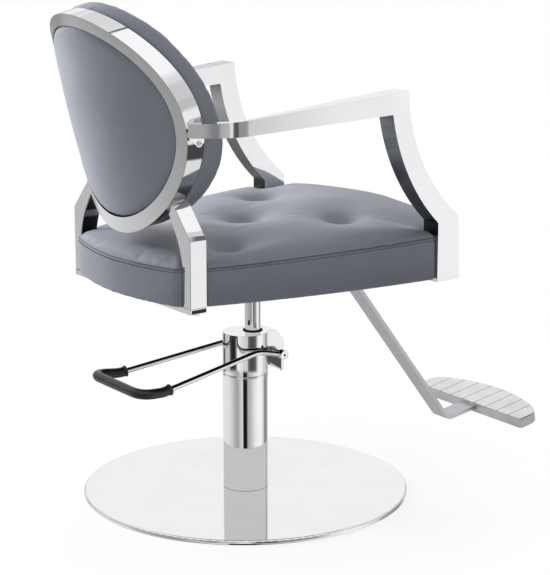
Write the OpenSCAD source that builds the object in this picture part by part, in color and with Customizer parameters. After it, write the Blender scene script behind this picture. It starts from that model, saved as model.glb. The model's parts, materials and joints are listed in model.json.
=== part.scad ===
// Hydraulic salon styling chair with a round bent-metal back frame,
// sabre-legged arms, a T footrest and a foot-pumped lift on a disc base.
// Origin: centre of the underside of the base. +Z up. The seat faces -Y.

/* [Base] */
// Radius of the base disc
base_r = 290; // [240:1:340]
// Height of the base disc at its rim
base_h = 8; // [6:0.5:14]
// Thickness of the polished cover on the base
cover_t = 1.2; // [0.8:0.1:2]

/* [Column] */
// Outer radius of the column sleeve
column_r = 40.5; // [38:0.5:48]
// Wall of the column sleeve
column_wall = 1.5; // [1:0.1:2]
// Length of the column sleeve above the base
column_len = 211; // [190:1:280]
// Height of the pump head
head_h = 74; // [70:1:95]
// Wall of the pump head
head_wall = 2.5; // [2:0.1:3]
// Reach of the pump head's ears in front of the column centre
ear_reach = 67; // [62:1:80]
// Half the distance between the outer faces of the ears
ear_half = 24; // [23:0.5:28]

/* [Pump] */
// Diameter of the piston rod
piston_d = 28; // [24:0.5:30]
// Distance of the piston axis in front of the column centre
piston_off = 16; // [14:0.5:18]
// Length of piston rod seen between pump head and swivel hub
piston_show = 59; // [50:1:90]
// Outer radius of the main cylinder
cylinder_r = 21.5; // [20.5:0.5:22.5]
// Wall of the main cylinder
cylinder_wall = 2.5; // [2:0.1:3]
// Outer radius of the plunger barrel
barrel_r = 10; // [9:0.5:11]
// Diameter of the pump plunger
plunger_d = 11; // [9:0.5:12]
// Distance of the plunger axis behind the column centre
plunger_y = 19; // [18:0.5:22]
// Wire diameter of the plunger return spring
spring_wire = 1.8; // [1.2:0.1:2.2]
// Number of turns in the plunger return spring
spring_turns = 6; // [4:1:8]

/* [Pedal] */
// Distance of the pedal shaft in front of the column centre
shaft_off = 42; // [40:0.5:48]
// Depth of the pedal shaft axis below the top of the pump head
shaft_drop = 37.5; // [34:0.5:42]
// Diameter of the pedal shaft
shaft_d = 12; // [10:0.5:14]
// Diameter of the pedal's bent rod
rod_d = 9.6; // [8:0.2:12]
// Distance of the pedal's bosses from the middle
boss_x = 56; // [54:0.5:64]
// Distance of the rod from the middle beside the column
rod_near_x = 48; // [47.5:0.5:56]
// Distance of the rod from the middle at the grip
rod_far_x = 81; // [70:1:100]
// Distance from the pedal shaft to the end of the grip
pedal_len = 316; // [260:1:340]
// Rise of the rod from the shaft to its bend
rod_rise = 10; // [6:0.5:14]
// Fall of the rod from its bend to the grip
rod_fall = 32; // [20:1:44]
// Diameter of the rubber grip
grip_d = 17.5; // [14:0.5:24]

/* [Seat frame] */
// Height of the swivel hub
hub_h = 39.4; // [32:0.2:60]
// Outer radius of the swivel hub
hub_r = 26; // [22:0.5:32]
// Thickness of the seat mount plate
mount_t = 6; // [4:0.5:10]
// Width and depth of the seat mount plate
mount_w = 230; // [200:1:250]
// Thickness of the tubular rails under the seat
rail_t = 9.4; // [8:0.2:16]
// Wall of the tubular rails
rail_wall = 1.6; // [1.2:0.1:2.5]
// Width of the side rails
rail_w = 30; // [24:1:40]
// Thickness of the flat rail that joins the front legs
front_rail_t = 5.6; // [4:0.2:8]
// Rise of the seat frame towards the front, in degrees
seat_tilt = 1.3; // [0:0.1:3]

/* [Seat cushion] */
// Half the width of the seat at the front
seat_front_x = 276; // [260:1:300]
// Height of the seat border at the rear
border_rear = 62; // [50:1:80]
// Height of the seat border at the front
border_front = 76; // [60:1:90]
// Height of the crown above the border
crown_h = 26; // [10:1:36]
// Distance of the seat's front edge from the column centre
seat_front_y = 334; // [310:1:350]
// Distance of the seat's rear edge from the column centre
seat_rear_y = 270; // [255:1:285]
// Thickness of the plywood seat board
board_t = 12; // [9:1:18]

/* [Back posts] */
// Distance of the posts' outer faces from the middle
post_x = 189; // [180:1:195]
// Width of a post seen from behind
post_w = 22.6; // [18:0.2:26]
// Depth of a post from front to back
post_d = 31.2; // [26:0.2:36]
// Distance of the posts' rear faces from the column centre
post_y = 233.8; // [228:0.2:238]
// Height of the posts' knee above the seat frame
knee_h = 112; // [90:1:130]
// Lean of the posts' outer edge above the knee, in degrees
post_lean = 43; // [38:1:46]

/* [Back] */
// Half the width of the back ring
ring_a = 183.4; // [176:0.2:190]
// Half the height of the back ring
ring_b = 188.8; // [182:0.2:196]
// Width of the ring's face at its sides
ring_w = 15; // [12:0.5:20]
// Width of the ring's face at its ends, the mean of top and bottom
ring_end_w = 24.3; // [20:0.1:28]
// Height of the panel's middle above the ring's middle
panel_up = 4; // [0:0.5:6]
// Depth of the ring from front to back
ring_d = 32; // [26:0.5:38]
// Radius to which the ring is bent about its upright axis
bend_r = 294; // [270:1:330]
// Recline of the back, in degrees
recline = 14; // [12:0.5:16]
// Distance of the ring's middle behind the column centre
ring_y = 299.4; // [294:0.2:304]
// Height of the ring's middle above the seat frame
ring_h = 283.1; // [278:0.5:290]
// Thickness of the front back cushion ahead of the ring
pad_t = 38; // [25:1:50]

/* [Arms] */
// Distance of the arms' outer faces from the middle
arm_x = 276.5; // [270:0.5:290]
// Width of the arms and front legs seen from the front
arm_w = 38.7; // [30:0.5:44]
// Height of the arms' front corner above the seat frame
arm_h = 336.7; // [320:0.5:350]
// Distance of the arms' front corner in front of the column centre
arm_front = 138; // [125:1:150]
// Height of the arm bar at its front end
bar_front_h = 36; // [28:0.5:42]
// Height of the arm bar at its rear end
bar_rear_h = 22.5; // [18:0.5:28]
// Fall of the arm's top edge towards the rear, in degrees
arm_fall = 5.5; // [3:0.5:7]
// Outer radius of the arm's turn towards the ring
turn_r = 60; // [50:1:70]
// Where the turn gives way to the strap, in degrees from straight ahead
turn_end = 40; // [36:1:46]
// Outer radius of the strap that leads on to the ring
strap_r = 220; // [180:5:260]
// Where the strap ends at the ring, in degrees from straight ahead
strap_end = 57; // [52:1:62]
// Length of the small plates under the straps
tab_len = 27; // [22:1:32]
// Distance of the plates' screws below the straps
tab_drop = 10.5; // [8:0.5:14]
// Width of a front leg seen from the side above its knee
leg_w = 35.6; // [30:0.5:42]
// Radius of the front leg's hollow front edge
leg_r = 298.4; // [280:1:340]
// Width of a front leg's foot seen from the side
foot_w = 48; // [40:0.5:54]

/* [Footrest] */
// Width of the flat footrest bar
bar_w = 40; // [30:1:50]
// Thickness of the footrest bar
bar_t = 7; // [5:0.5:10]
// Slope of the footrest bar, in degrees from level
bar_slope = 52.7; // [48:0.1:58]
// Distance of the tread's rear edge in front of the column centre
tread_y = 524; // [500:1:560]
// Height of the tread's rear edge above the floor
tread_z = 76.3; // [70:0.1:110]
// Inner radius of the bar's bends
bend_in = 12; // [8:1:18]
// Width of the tread
tread_w = 300; // [260:1:340]
// Depth of the tread from front to back
tread_d = 77; // [66:1:90]
// Height of the tread's skirt
tread_h = 20; // [16:0.5:24]
// Upward tilt of the tread towards the front, in degrees
tread_tilt = 10; // [6:0.5:12]
// Number of grooves in the tread
grooves = 8; // [4:1:12]

/* [Hidden] */
$fn = 96;

// Clearances
gap = 0.3;            // soft or loose neighbours
run_gap = 0.04;       // shafts and rods in their bores, on the radius
eps = 0.01;

// Heights
column_top = base_h + column_len;
head_top = column_top + head_h;
hub_bottom = head_top + piston_show;
hub_top = hub_bottom + hub_h;
post_mid_y = post_y - post_d / 2;
seat_z = hub_top + mount_t + rail_t - (post_mid_y + piston_off) * tan(seat_tilt);
function frame_z(y) = seat_z + (post_mid_y - y) * tan(seat_tilt);

// Pump
sleeve_in = column_r - column_wall;
foot_h = 14;
cylinder_top = column_top - 6;
barrel_top = column_top - 16;
cylinder_in = cylinder_r - cylinder_wall;
piston_r = piston_d / 2;
bush_h = 20;
piston_bottom = base_h + foot_h + 38;
seal_h = 22;
head_in = column_r - head_wall;
ear_in = ear_half - head_wall;
shaft_z = head_top - shaft_drop;
wiper_r = piston_r + 4;
wiper_h = 1.5;
hub_flange_r = hub_r + 12;
bolt_x = 22;
bolt_d = 8;
counterbore_d = 15;
counterbore_h = 3.6;

// Rocker and plunger
nose_r = 6;
nose_z = shaft_z + 1;
plunger_top = nose_z - nose_r - gap;
cap_t = 4;
cap_r = 9.4;
rocker_t = 4;
rocker_in = piston_r + 1.2;
rocker_boss_r = shaft_d / 2 + 4;

// Pedal
boss_r = 8.4;
boss_len = 13;
rod_bend_y = -shaft_off + 46;
grip_start_y = -shaft_off + pedal_len - 61;
rod_end_y = -shaft_off + pedal_len - grip_d / 2;
rod_corner = 30;
grip_lift = 4;

// Seat frame, in the tilted frame whose z = 0 is the rails' top face
leg_rear_y = -(arm_front + 70);
leg_front_y = leg_rear_y - foot_w;
side_rail_x = 88;
mount_bolt_x = side_rail_x;
mount_bolt_y = mount_w / 2 - 25;
frame_bolt_d = 8;
frame_screw_in = 16;

// Back
inner_a = ring_a - ring_w;
inner_b = ring_b - ring_end_w;
ring_z = seat_z + ring_h;
board_back_t = 8;
panel_edge = 3;
panel_dome = 8;
panel_step = 7;

// Arms
leg_arc_y = -(arm_front + leg_r + 1.1);
leg_arc_z = seat_z + arm_h + 13;
arm_top_z = seat_z + arm_h;
arm_from = leg_arc_y + leg_r + leg_w;
strap_t = 12;
strap_proud = 2.6;
ring_side_y = ring_y - (bend_r - sqrt(bend_r * bend_r - ring_a * ring_a)) * cos(recline);
strap_at = [ring_a + strap_proud, ring_side_y - 3.4];
strap_c = strap_at - strap_r * dir(strap_end);
turn_c = strap_c + (strap_r - turn_r) * dir(turn_end);
knee_to_turn = [arm_x, arm_from] - turn_c;
turn_start = atan2(knee_to_turn[1], knee_to_turn[0]) + acos(turn_r / norm(knee_to_turn));
tab_t = 4;
tab_tip_r = 6.5;
tab_y = strap_at[1] - 20;

// Footrest, as (y, z)
bar_under = rail_t + mount_t + eps;
bar_rear_y = -piston_off - hub_flange_r - 4;
tongue_len = 68;
tread_top_t = 5.5;
tread_fwd = [-cos(tread_tilt), sin(tread_tilt)];
tread_up = [sin(tread_tilt), cos(tread_tilt)];
tread_at = [-tread_y, tread_z];
bar_low_at = tread_at - tread_up * (tread_top_t + bar_t / 2) - tread_fwd * tongue_len;
bar_rear_at = [bar_rear_y, frame_z(bar_rear_y) - (bar_under + bar_t / 2) / cos(seat_tilt)];
bar_high_y = (bar_rear_at[1] - bar_low_at[1] + bar_rear_y * tan(seat_tilt) + bar_low_at[0] * tan(bar_slope))
  / (tan(bar_slope) + tan(seat_tilt));
bar_high_at = [bar_high_y, bar_rear_at[1] - (bar_high_y - bar_rear_y) * tan(seat_tilt)];
bar_front_at = bar_low_at + tread_fwd * (tongue_len + tread_d * 0.75);
groove_pitch = tread_w / (grooves + 1);
groove_w = 1.6;
groove_d = 1.4;
skirt_t = 4;
tread_arc_r = 350;
tread_corner_r = 32;

// The direction at an angle
function dir(a) = [cos(a), sin(a)];

// Points along an arc round c, from angle a0 to a1
function arc(c, r, a0, a1, n) =
  [for (i = [0:n]) c + r * [cos(a0 + (a1 - a0) * i / n), sin(a0 + (a1 - a0) * i / n)]];

module tube(r_out, r_in, h) {
  difference() {
    cylinder(r = r_out, h = h);
    translate([0, 0, -eps]) cylinder(r = r_in, h = h + 2 * eps);
  }
}

module bolt(d, len, head_d, head_h) {
  translate([0, 0, -eps]) cylinder(d = d, h = len + eps);
  translate([0, 0, -head_h]) cylinder(d = head_d, h = head_h);
}

module mirror_x() {
  children();
  mirror([1, 0, 0]) children();
}

// A drawing in (y, z) pushed out along X from x0 by w
module side_cut(x0, w) {
  translate([x0, 0, 0]) rotate([90, 0, 90]) linear_extrude(w) children();
}

// A drawing in (x, z) pushed out from y0 towards the rear by d
module rear_cut(y0, d) {
  translate([0, y0 + d, 0]) rotate([90, 0, 0]) linear_extrude(d) children();
}

module at_piston() { translate([0, -piston_off, 0]) children(); }
module at_plunger() { translate([0, plunger_y, 0]) children(); }

// The tilted seat frame: z = 0 is the top face of the rails
module seat_frame() {
  translate([0, post_mid_y, seat_z]) rotate([-seat_tilt, 0, 0]) translate([0, -post_mid_y, 0]) children();
}

// The reclined back: y = 0 is the rear plane of the ring, z runs up the back
module back_frame() {
  translate([0, ring_y, ring_z]) rotate([-recline, 0, 0]) children();
}

module back_oval(a, b, depth = 400) {
  rotate([90, 0, 0]) translate([0, 0, -depth / 2]) linear_extrude(depth)
    scale([a / b, 1]) circle(r = b, $fn = 240);
}

// Everything between two copies of the bend, front and rear, measured forward of the rear plane
module bent_slab(rear, front) {
  difference() {
    translate([0, -bend_r - rear, -ring_b - 20]) cylinder(r = bend_r, h = 2 * ring_b + 40, $fn = 180);
    translate([0, -bend_r - front, -ring_b - 21]) cylinder(r = bend_r, h = 2 * ring_b + 42, $fn = 180);
    translate([-bend_r, -2 * bend_r, -ring_b - 21]) cube([2 * bend_r, bend_r, 2 * ring_b + 42]);
  }
}

// A disc with a rounded upper rim, inset by m
module rim_profile(m) {
  rim_r = 3.5 - m;
  square([base_r - m - rim_r, base_h - m]);
  square([base_r - m, base_h - m - rim_r]);
  translate([base_r - m - rim_r, base_h - m - rim_r]) circle(r = rim_r);
}

module at_base_bolts() {
  for (sx = [-1, 1], sy = [-1, 1]) translate([sx * bolt_x, sy * bolt_x, 0]) children();
}

module base_plate() {
  color("dimgray") difference() {
    rotate_extrude($fn = 180) intersection() {
      rim_profile(cover_t + 0.1);
      square([base_r, base_h - cover_t]);
    }
    at_base_bolts() {
      translate([0, 0, -eps]) cylinder(d = bolt_d + 2 * run_gap, h = base_h);
      translate([0, 0, -eps]) cylinder(d = counterbore_d, h = counterbore_h + eps);
    }
  }
}

module base_cover() {
  color("gainsboro") difference() {
    rotate_extrude($fn = 180) difference() {
      rim_profile(0);
      translate([-eps, -eps]) square([base_r + 1, 1]);
      intersection() {
        rim_profile(cover_t);
        square([base_r, base_h - cover_t]);
      }
    }
    at_base_bolts() cylinder(d = bolt_d + 2 * run_gap, h = 2 * base_h);
  }
}

module base_bolts() {
  color("silver") at_base_bolts() translate([0, 0, counterbore_h])
    bolt(bolt_d, base_h - counterbore_h + foot_h - 4, counterbore_d - 1, counterbore_h - 0.4);
}

module pump_foot() {
  color("darkslategray") difference() {
    translate([0, 0, base_h]) cylinder(r = sleeve_in - 0.3, h = foot_h);
    at_base_bolts() cylinder(d = bolt_d + 2 * run_gap, h = base_h + foot_h - 3);
  }
}

module main_cylinder() {
  color("slategray") at_piston() translate([0, 0, base_h + foot_h])
    tube(cylinder_r, cylinder_in, cylinder_top - base_h - foot_h);
}

module plunger_barrel() {
  color("slategray") at_plunger() difference() {
    translate([0, 0, base_h + foot_h]) cylinder(r = barrel_r, h = barrel_top - base_h - foot_h);
    translate([0, 0, base_h + foot_h + 20]) cylinder(r = plunger_d / 2 + run_gap, h = column_len);
  }
}

module column_sleeve() {
  color("silver") translate([0, 0, base_h]) tube(column_r, sleeve_in, column_len);
}

// Side view of the pump head's ears, in (y, z), inset by m
module ear_profile(m) {
  low = shaft_z - 39.5;
  polygon([
    [0, head_top - m], [-ear_reach + 17, head_top - m], [-ear_reach + m, head_top - 20 - m],
    [-ear_reach + m, low], [-ear_reach + 7, low], [-ear_reach + 7, low + 4],
    [-ear_reach + 29, low + 18], [-ear_reach + 37, low + 24], [0, low + 24]
  ]);
}

module pump_head() {
  top_t = 4;
  color("silver") difference() {
    union() {
      translate([0, 0, column_top]) cylinder(r = column_r, h = head_h);
      side_cut(-ear_half, 2 * ear_half) ear_profile(0);
    }
    translate([0, 0, column_top - 1]) cylinder(r = head_in, h = head_h + 1 - top_t);
    side_cut(-ear_in, 2 * ear_in) polygon([
      [0, head_top - top_t], [-ear_reach + 16, head_top - top_t], [-ear_reach + head_wall, head_top - 21 - head_wall],
      [-ear_reach + head_wall, column_top - 10], [0, column_top - 10]
    ]);
    at_piston() cylinder(r = piston_r + 3 + run_gap, h = 2 * head_top);
    shaft_line() cylinder(d = shaft_d + 4 + 2 * run_gap, h = 4 * ear_half, center = true);
  }
}

module shaft_line() {
  translate([0, -shaft_off, shaft_z]) rotate([0, 90, 0]) children();
}

module shaft_bushes() {
  color("goldenrod") mirror_x() shaft_line() difference() {
    union() {
      translate([0, 0, ear_in]) cylinder(d = shaft_d + 4, h = head_wall + eps);
      translate([0, 0, ear_half]) cylinder(d = shaft_d + 6, h = 1.5);
    }
    cylinder(d = shaft_d + 2 * run_gap, h = 2 * ear_half);
  }
}

module guide_bush() {
  color("goldenrod") at_piston() translate([0, 0, cylinder_top - bush_h])
    tube(cylinder_in - run_gap, piston_r + run_gap, bush_h);
}

module piston_wiper() {
  color("dimgray") at_piston() difference() {
    union() {
      translate([0, 0, head_top - 3]) cylinder(r = piston_r + 3, h = 3 + eps);
      translate([0, 0, head_top]) cylinder(r1 = wiper_r, r2 = wiper_r - 0.7, h = wiper_h);
    }
    cylinder(r = piston_r + run_gap, h = 2 * head_top);
  }
}

// Groove in the piston rod that the hub screw runs in
groove_z = hub_bottom + 0.55 * hub_h;
module piston_rod() {
  color("silver") at_piston() difference() {
    translate([0, 0, piston_bottom]) cylinder(r = piston_r, h = hub_top - 8 - piston_bottom);
    translate([0, 0, groove_z - 4]) tube(piston_r + 1, piston_r - 2.5, 8);
  }
}

module piston_seal() {
  color("black") at_piston() translate([0, 0, piston_bottom + 4])
    tube(cylinder_in - run_gap, piston_r + run_gap / 2, seal_h);
}

module pedal_shaft() {
  color("silver") shaft_line() cylinder(d = shaft_d, h = 2 * (boss_x + boss_len / 2 - 3.4), center = true);
}

module pump_rocker() {
  color("slategray") difference() {
    union() {
      shaft_line() cylinder(r = rocker_boss_r, h = 2 * (rocker_in + rocker_t), center = true);
      mirror_x() side_cut(rocker_in, rocker_t) {
        translate([-shaft_off, shaft_z]) circle(r = rocker_boss_r);
        translate([plunger_y, nose_z]) circle(r = nose_r);
        polygon([
          [-shaft_off, shaft_z + rocker_boss_r], [plunger_y, nose_z + nose_r],
          [plunger_y, nose_z - nose_r], [-shaft_off, shaft_z - rocker_boss_r]
        ]);
      }
      side_cut(-rocker_in - 1, 2 * rocker_in + 2) translate([plunger_y, nose_z]) circle(r = nose_r);
    }
    shaft_line() cylinder(d = shaft_d + run_gap, h = 4 * ear_half, center = true);
  }
}

// Sweep of round sections of radius rad[i] round the points pts[i]
function unit(v) = v / norm(v);
function tangent(pts, i) = unit(pts[min(i + 1, len(pts) - 1)] - pts[max(i - 1, 0)]);
module sweep(pts, rad, sides = 16, ref = [0, 0, 1]) {
  n = len(pts);
  rings = [for (i = [0:n - 1])
    let (t = tangent(pts, i), a = unit(cross(t, ref)), b = cross(a, t))
    for (k = [0:sides - 1]) pts[i] + rad[i] * (cos(360 * k / sides) * a + sin(360 * k / sides) * b)];
  skin = [for (i = [0:n - 2], k = [0:sides - 1])
    let (p = i * sides + k, q = i * sides + (k + 1) % sides)
    each [[p, q, q + sides], [p, q + sides, p + sides]]];
  near_cap = [for (k = [sides - 1:-1:0]) k];
  far_cap = [for (k = [0:sides - 1]) (n - 1) * sides + k];
  polyhedron(points = rings, faces = concat(skin, [near_cap, far_cap]), convexity = 6);
}

// Corner at p between a and b, rounded from a distance d before it to a distance d after it
function corner(a, p, b, d, n) =
  let (u = p + d * unit(a - p), v = p + d * unit(b - p))
  [for (i = [0:n]) let (t = i / n) (1 - t) * (1 - t) * u + 2 * t * (1 - t) * p + t * t * v];

boss_at = [boss_x, -shaft_off, shaft_z];
bend_at = [rod_near_x, rod_bend_y, shaft_z + rod_rise];
dip_at = [rod_far_x - 7, grip_start_y + 4, shaft_z + rod_rise - rod_fall];
end_at = [rod_far_x + 2, rod_end_y, dip_at[2] + grip_lift];
mid_at = [0, rod_end_y, end_at[2]];
grip_side = concat(
  [dip_at + unit(bend_at - dip_at) * 14, dip_at + unit(bend_at - dip_at) * 9],
  corner(bend_at, dip_at, end_at, 8, 4), corner(dip_at, end_at, mid_at, rod_corner, 8));
rod_side = concat([boss_at], corner(boss_at, bend_at, dip_at, 14, 5), grip_side);
function across(pts) = concat(pts, [for (i = [len(pts) - 1:-1:0]) [-pts[i][0], pts[i][1], pts[i][2]]]);

module pedal_bar() {
  path = across(rod_side);
  color("silver") difference() {
    union() {
      sweep(path, [for (p = path) rod_d / 2]);
      mirror_x() shaft_line() translate([0, 0, boss_x - boss_len / 2]) cylinder(r = boss_r, h = boss_len);
    }
    shaft_line() cylinder(d = shaft_d + run_gap, h = 3 * boss_x, center = true);
  }
}

module boss_screws() {
  color("dimgray") mirror_x() shaft_line() difference() {
    translate([0, 0, boss_x + boss_len / 2 - 3.4]) cylinder(d = shaft_d, h = 3);
    translate([0, 0, boss_x + boss_len / 2 - 2.4]) cylinder(d = 5, h = 4, $fn = 6);
  }
}

module pedal_grip() {
  path = across(grip_side);
  last = len(path) - 1;
  inner = across(concat([grip_side[0] + unit(bend_at - dip_at) * 4], grip_side));
  color("black") difference() {
    sweep(path, [for (i = [0:last]) grip_d / 2 + (min(i, last - i) < 1 ? 1.6 : 0)]);
    sweep(inner, [for (p = inner) rod_d / 2 + run_gap]);
  }
}

module pump_plunger() {
  bottom = barrel_top - 60;
  color("silver") at_plunger() {
    translate([0, 0, bottom]) cylinder(d = plunger_d, h = plunger_top - bottom);
    translate([0, 0, plunger_top - cap_t]) cylinder(r = cap_r, h = cap_t);
  }
}

module plunger_spring() {
  coil_r = plunger_d / 2 + spring_wire / 2 + 0.7;
  low = barrel_top + spring_wire / 2;
  rise = plunger_top - cap_t - barrel_top - spring_wire;
  steps = 14 * spring_turns;
  path = [for (i = [0:steps]) let (a = 360 * spring_turns * i / steps)
    [coil_r * cos(a), coil_r * sin(a), low + rise * i / steps]];
  color("gray") at_plunger() sweep(path, [for (p = path) spring_wire / 2], sides = 8);
}

module above_mount_plate() {
  seat_frame() translate([-300, -300, -rail_t - mount_t]) cube([600, 600, 300]);
}

module swivel_hub() {
  color("dimgray") difference() {
    at_piston() difference() {
      union() {
        translate([0, 0, hub_bottom]) cylinder(r = hub_r, h = hub_h + 10);
        translate([0, 0, hub_top - 6]) cylinder(r = hub_flange_r, h = 16);
      }
      translate([0, 0, hub_bottom - 1]) cylinder(r = piston_r + run_gap, h = hub_h - 6.7);
      translate([0, 0, groove_z]) rotate([-90, 0, 0]) cylinder(d = 8 + 2 * run_gap, h = 2 * hub_r);
    }
    above_mount_plate();
  }
}

// Set screw whose thin tip runs in the piston rod's groove
module hub_screw() {
  tip = 3.5;
  color("silver") at_piston() translate([0, 0, groove_z]) rotate([-90, 0, 0]) difference() {
    union() {
      translate([0, 0, piston_r - 2]) cylinder(r = tip, h = 4);
      translate([0, 0, piston_r + 1]) cylinder(d = 8, h = hub_r - piston_r - 1.4);
    }
    translate([0, 0, hub_r - 3]) cylinder(d = 4.6, h = 5, $fn = 6);
  }
}

module at_mount_bolts() {
  for (sx = [-1, 1], sy = [-1, 1])
    translate([sx * mount_bolt_x, -piston_off + sy * mount_bolt_y, 0]) children();
}

module at_bar_bolts() {
  for (y = [bar_rear_y - 22, bar_rear_y - 56]) translate([0, y, 0]) children();
}

module seat_mount_plate() {
  color("dimgray") seat_frame() difference() {
    translate([-mount_w / 2, -piston_off - mount_w / 2, -rail_t - mount_t]) cube([mount_w, mount_w, mount_t]);
    at_mount_bolts() translate([0, 0, -50]) cylinder(d = bolt_d + 2 * run_gap, h = 60);
    at_bar_bolts() translate([0, 0, -50]) cylinder(d = bolt_d + 2 * run_gap, h = 60);
  }
}

module mount_bolts() {
  color("silver") seat_frame() at_mount_bolts() translate([0, 0, -rail_t - mount_t])
    bolt(bolt_d, mount_t + rail_t - rail_wall - 1, 14, 5);
}

// A rectangular tube along Y in the seat frame
module side_rail(x) {
  y0 = leg_rear_y;
  y1 = post_y - post_d;
  color("silver") seat_frame() difference() {
    translate([x - rail_w / 2, y0, -rail_t]) cube([rail_w, y1 - y0, rail_t]);
    translate([x - rail_w / 2 + rail_wall, y0 - 1, -rail_t + rail_wall])
      cube([rail_w - 2 * rail_wall, y1 - y0 + 2, rail_t - 2 * rail_wall]);
    at_mount_bolts() translate([0, 0, -rail_t - 1]) cylinder(d = bolt_d + 2 * run_gap, h = rail_wall + 2);
  }
}

module side_rail_left() { side_rail(side_rail_x); }
module side_rail_right() { side_rail(-side_rail_x); }

module at_post_screws() {
  mirror_x() translate([post_x - post_w / 2, post_mid_y, 0]) children();
}

module at_leg_screws() {
  mirror_x() for (sy = [-1, 1])
    translate([arm_x - arm_w / 2, leg_rear_y - foot_w / 2 + sy * foot_w / 5, 0]) children();
}

cap_len = 4;
module rear_rail() {
  color("silver") seat_frame() difference() {
    translate([-post_x, post_y - post_d, -rail_t]) cube([2 * post_x, post_d, rail_t]);
    translate([-post_x - 1, post_y - post_d + rail_wall, -rail_t + rail_wall])
      cube([2 * post_x + 2, post_d - 2 * rail_wall, rail_t - 2 * rail_wall]);
    at_post_screws() translate([0, 0, -2 * rail_t]) cylinder(d = frame_bolt_d + 2 * run_gap, h = 4 * rail_t);
  }
}

module rail_end_caps() {
  color("black") seat_frame() mirror_x()
    translate([post_x - cap_len, post_y - post_d + rail_wall, -rail_t + rail_wall])
      cube([cap_len, post_d - 2 * rail_wall, rail_t - 2 * rail_wall]);
}

module front_rail() {
  color("silver") seat_frame() difference() {
    translate([-arm_x, leg_front_y, -front_rail_t]) cube([2 * arm_x, foot_w, front_rail_t]);
    at_leg_screws() translate([0, 0, -50]) cylinder(d = frame_bolt_d + 2 * run_gap, h = 100);
  }
}

module frame_screws() {
  color("silver") seat_frame() {
    at_post_screws() translate([0, 0, -rail_t]) bolt(frame_bolt_d, rail_t + frame_screw_in, 14, 2.5);
    at_leg_screws() translate([0, 0, -front_rail_t]) bolt(frame_bolt_d, front_rail_t + frame_screw_in, 14, 2.5);
  }
}

// A rear post seen from behind, in (x, z), on the +X side
module post_profile() {
  inner_x = post_x - post_w;
  bow_r = 130;
  bow_z = seat_z + knee_h - 66;
  bow_a = post_lean - 9.5;
  top = 78;
  low = frame_z(post_y);
  p = [inner_x - bow_r * (1 - cos(bow_a)), bow_z + bow_r * sin(bow_a)];
  difference() {
    polygon([
      [inner_x, low - 5], [post_x, low - 5], [post_x, seat_z + knee_h],
      [post_x - top * tan(post_lean), seat_z + knee_h + top],
      [p[0] - (seat_z + knee_h + top - p[1]) * tan(bow_a), seat_z + knee_h + top],
      p, [inner_x, bow_z]
    ]);
    translate([inner_x - bow_r, bow_z]) circle(r = bow_r, $fn = 180);
  }
}

module below_frame() {
  seat_frame() translate([-400, -600, -100]) cube([800, 1200, 100]);
}

module rear_post() {
  color("silver") difference() {
    rear_cut(post_y - post_d, post_d) post_profile();
    below_frame();
    back_frame() back_oval(ring_a + run_gap, ring_b + run_gap);
    seat_frame() at_post_screws() cylinder(d = frame_bolt_d + 2 * run_gap, h = frame_screw_in + 1);
  }
}

module rear_post_left() { rear_post(); }
module rear_post_right() { mirror([1, 0, 0]) rear_post(); }

// The ring's opening, made smaller by m all round
module inner_oval(m, depth = 400) {
  translate([0, 0, panel_up]) back_oval(inner_a - m, inner_b - m, depth);
}

// Bent ring: an oval tube cut front and rear by one and the same cylinder
module back_ring() {
  color("silver") back_frame() intersection() {
    difference() {
      back_oval(ring_a, ring_b);
      inner_oval(0, 420);
    }
    bent_slab(0, ring_d);
  }
}

board_from = 13.5;
board_to = board_from + board_back_t;
module back_panel() {
  color("slategray") back_frame() {
    intersection() {
      inner_oval(gap);
      bent_slab(-panel_edge, board_from);
    }
    intersection() {
      inner_oval(panel_step);
      bent_slab(-panel_dome, 0);
    }
  }
}

module back_board() {
  color("burlywood") back_frame() intersection() {
    inner_oval(gap);
    bent_slab(board_from, board_to);
  }
}

module back_cushion() {
  pad_in = 2;
  color("slategray") back_frame() {
    intersection() {
      union() {
        intersection() {
          back_oval(ring_a - pad_in, ring_b - pad_in);
          bent_slab(ring_d, ring_d + pad_t);
        }
        intersection() {
          inner_oval(gap, 420);
          bent_slab(board_to, ring_d + 1);
        }
      }
      translate([-ring_a, -300, -ring_b]) cube([2 * ring_a, 400, 2 * ring_b]);
    }
  }
}

// Points on a flat bow from p to q that rises s to the left of the way, without its last point
function bow(p, q, s, n) =
  let (d = q - p, side = [-d[1], d[0]] / norm(d))
  [for (i = [0:n - 1]) let (t = i / n) p + d * t + side * 4 * s * t * (1 - t)];
function mirrored(pts) = [for (i = [len(pts) - 1:-1:0]) [-pts[i][0], pts[i][1]]];

// Half of the seat's plan on the +X side, from the front to the rear, inset by m
leg_in = arm_x - arm_w;
function seat_half(m) = concat(
  bow([0, -seat_front_y + m], [leg_in - m, leg_front_y - 16 + m], -10, 6),
  bow([seat_front_x - 2 * m, leg_rear_y + gap], [post_x - m, post_y - post_d - gap], -13, 6),
  bow([post_x - post_w - m, post_y + 6 - m], [0, seat_rear_y - m], -6, 5));
function seat_plan(m) = concat(seat_half(m), [[0, seat_rear_y - m]], mirrored([for (i = [1:len(seat_half(m)) - 1]) seat_half(m)[i]]));

// Upright room for the legs and the posts at the seat's corners
module corner_room(m) {
  mirror_x() {
    translate([leg_in - m, -seat_front_y - 100, 0]) cube([100, seat_front_y + 100 + leg_rear_y + m, 2 * seat_z]);
    translate([post_x - post_w - m, post_y - post_d - m, 0]) cube([100, 200, 2 * seat_z]);
  }
}

module seat_board() {
  inset = 16;
  color("burlywood") difference() {
    seat_frame() linear_extrude(board_t) polygon(seat_plan(inset));
    corner_room(inset);
  }
}

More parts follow.
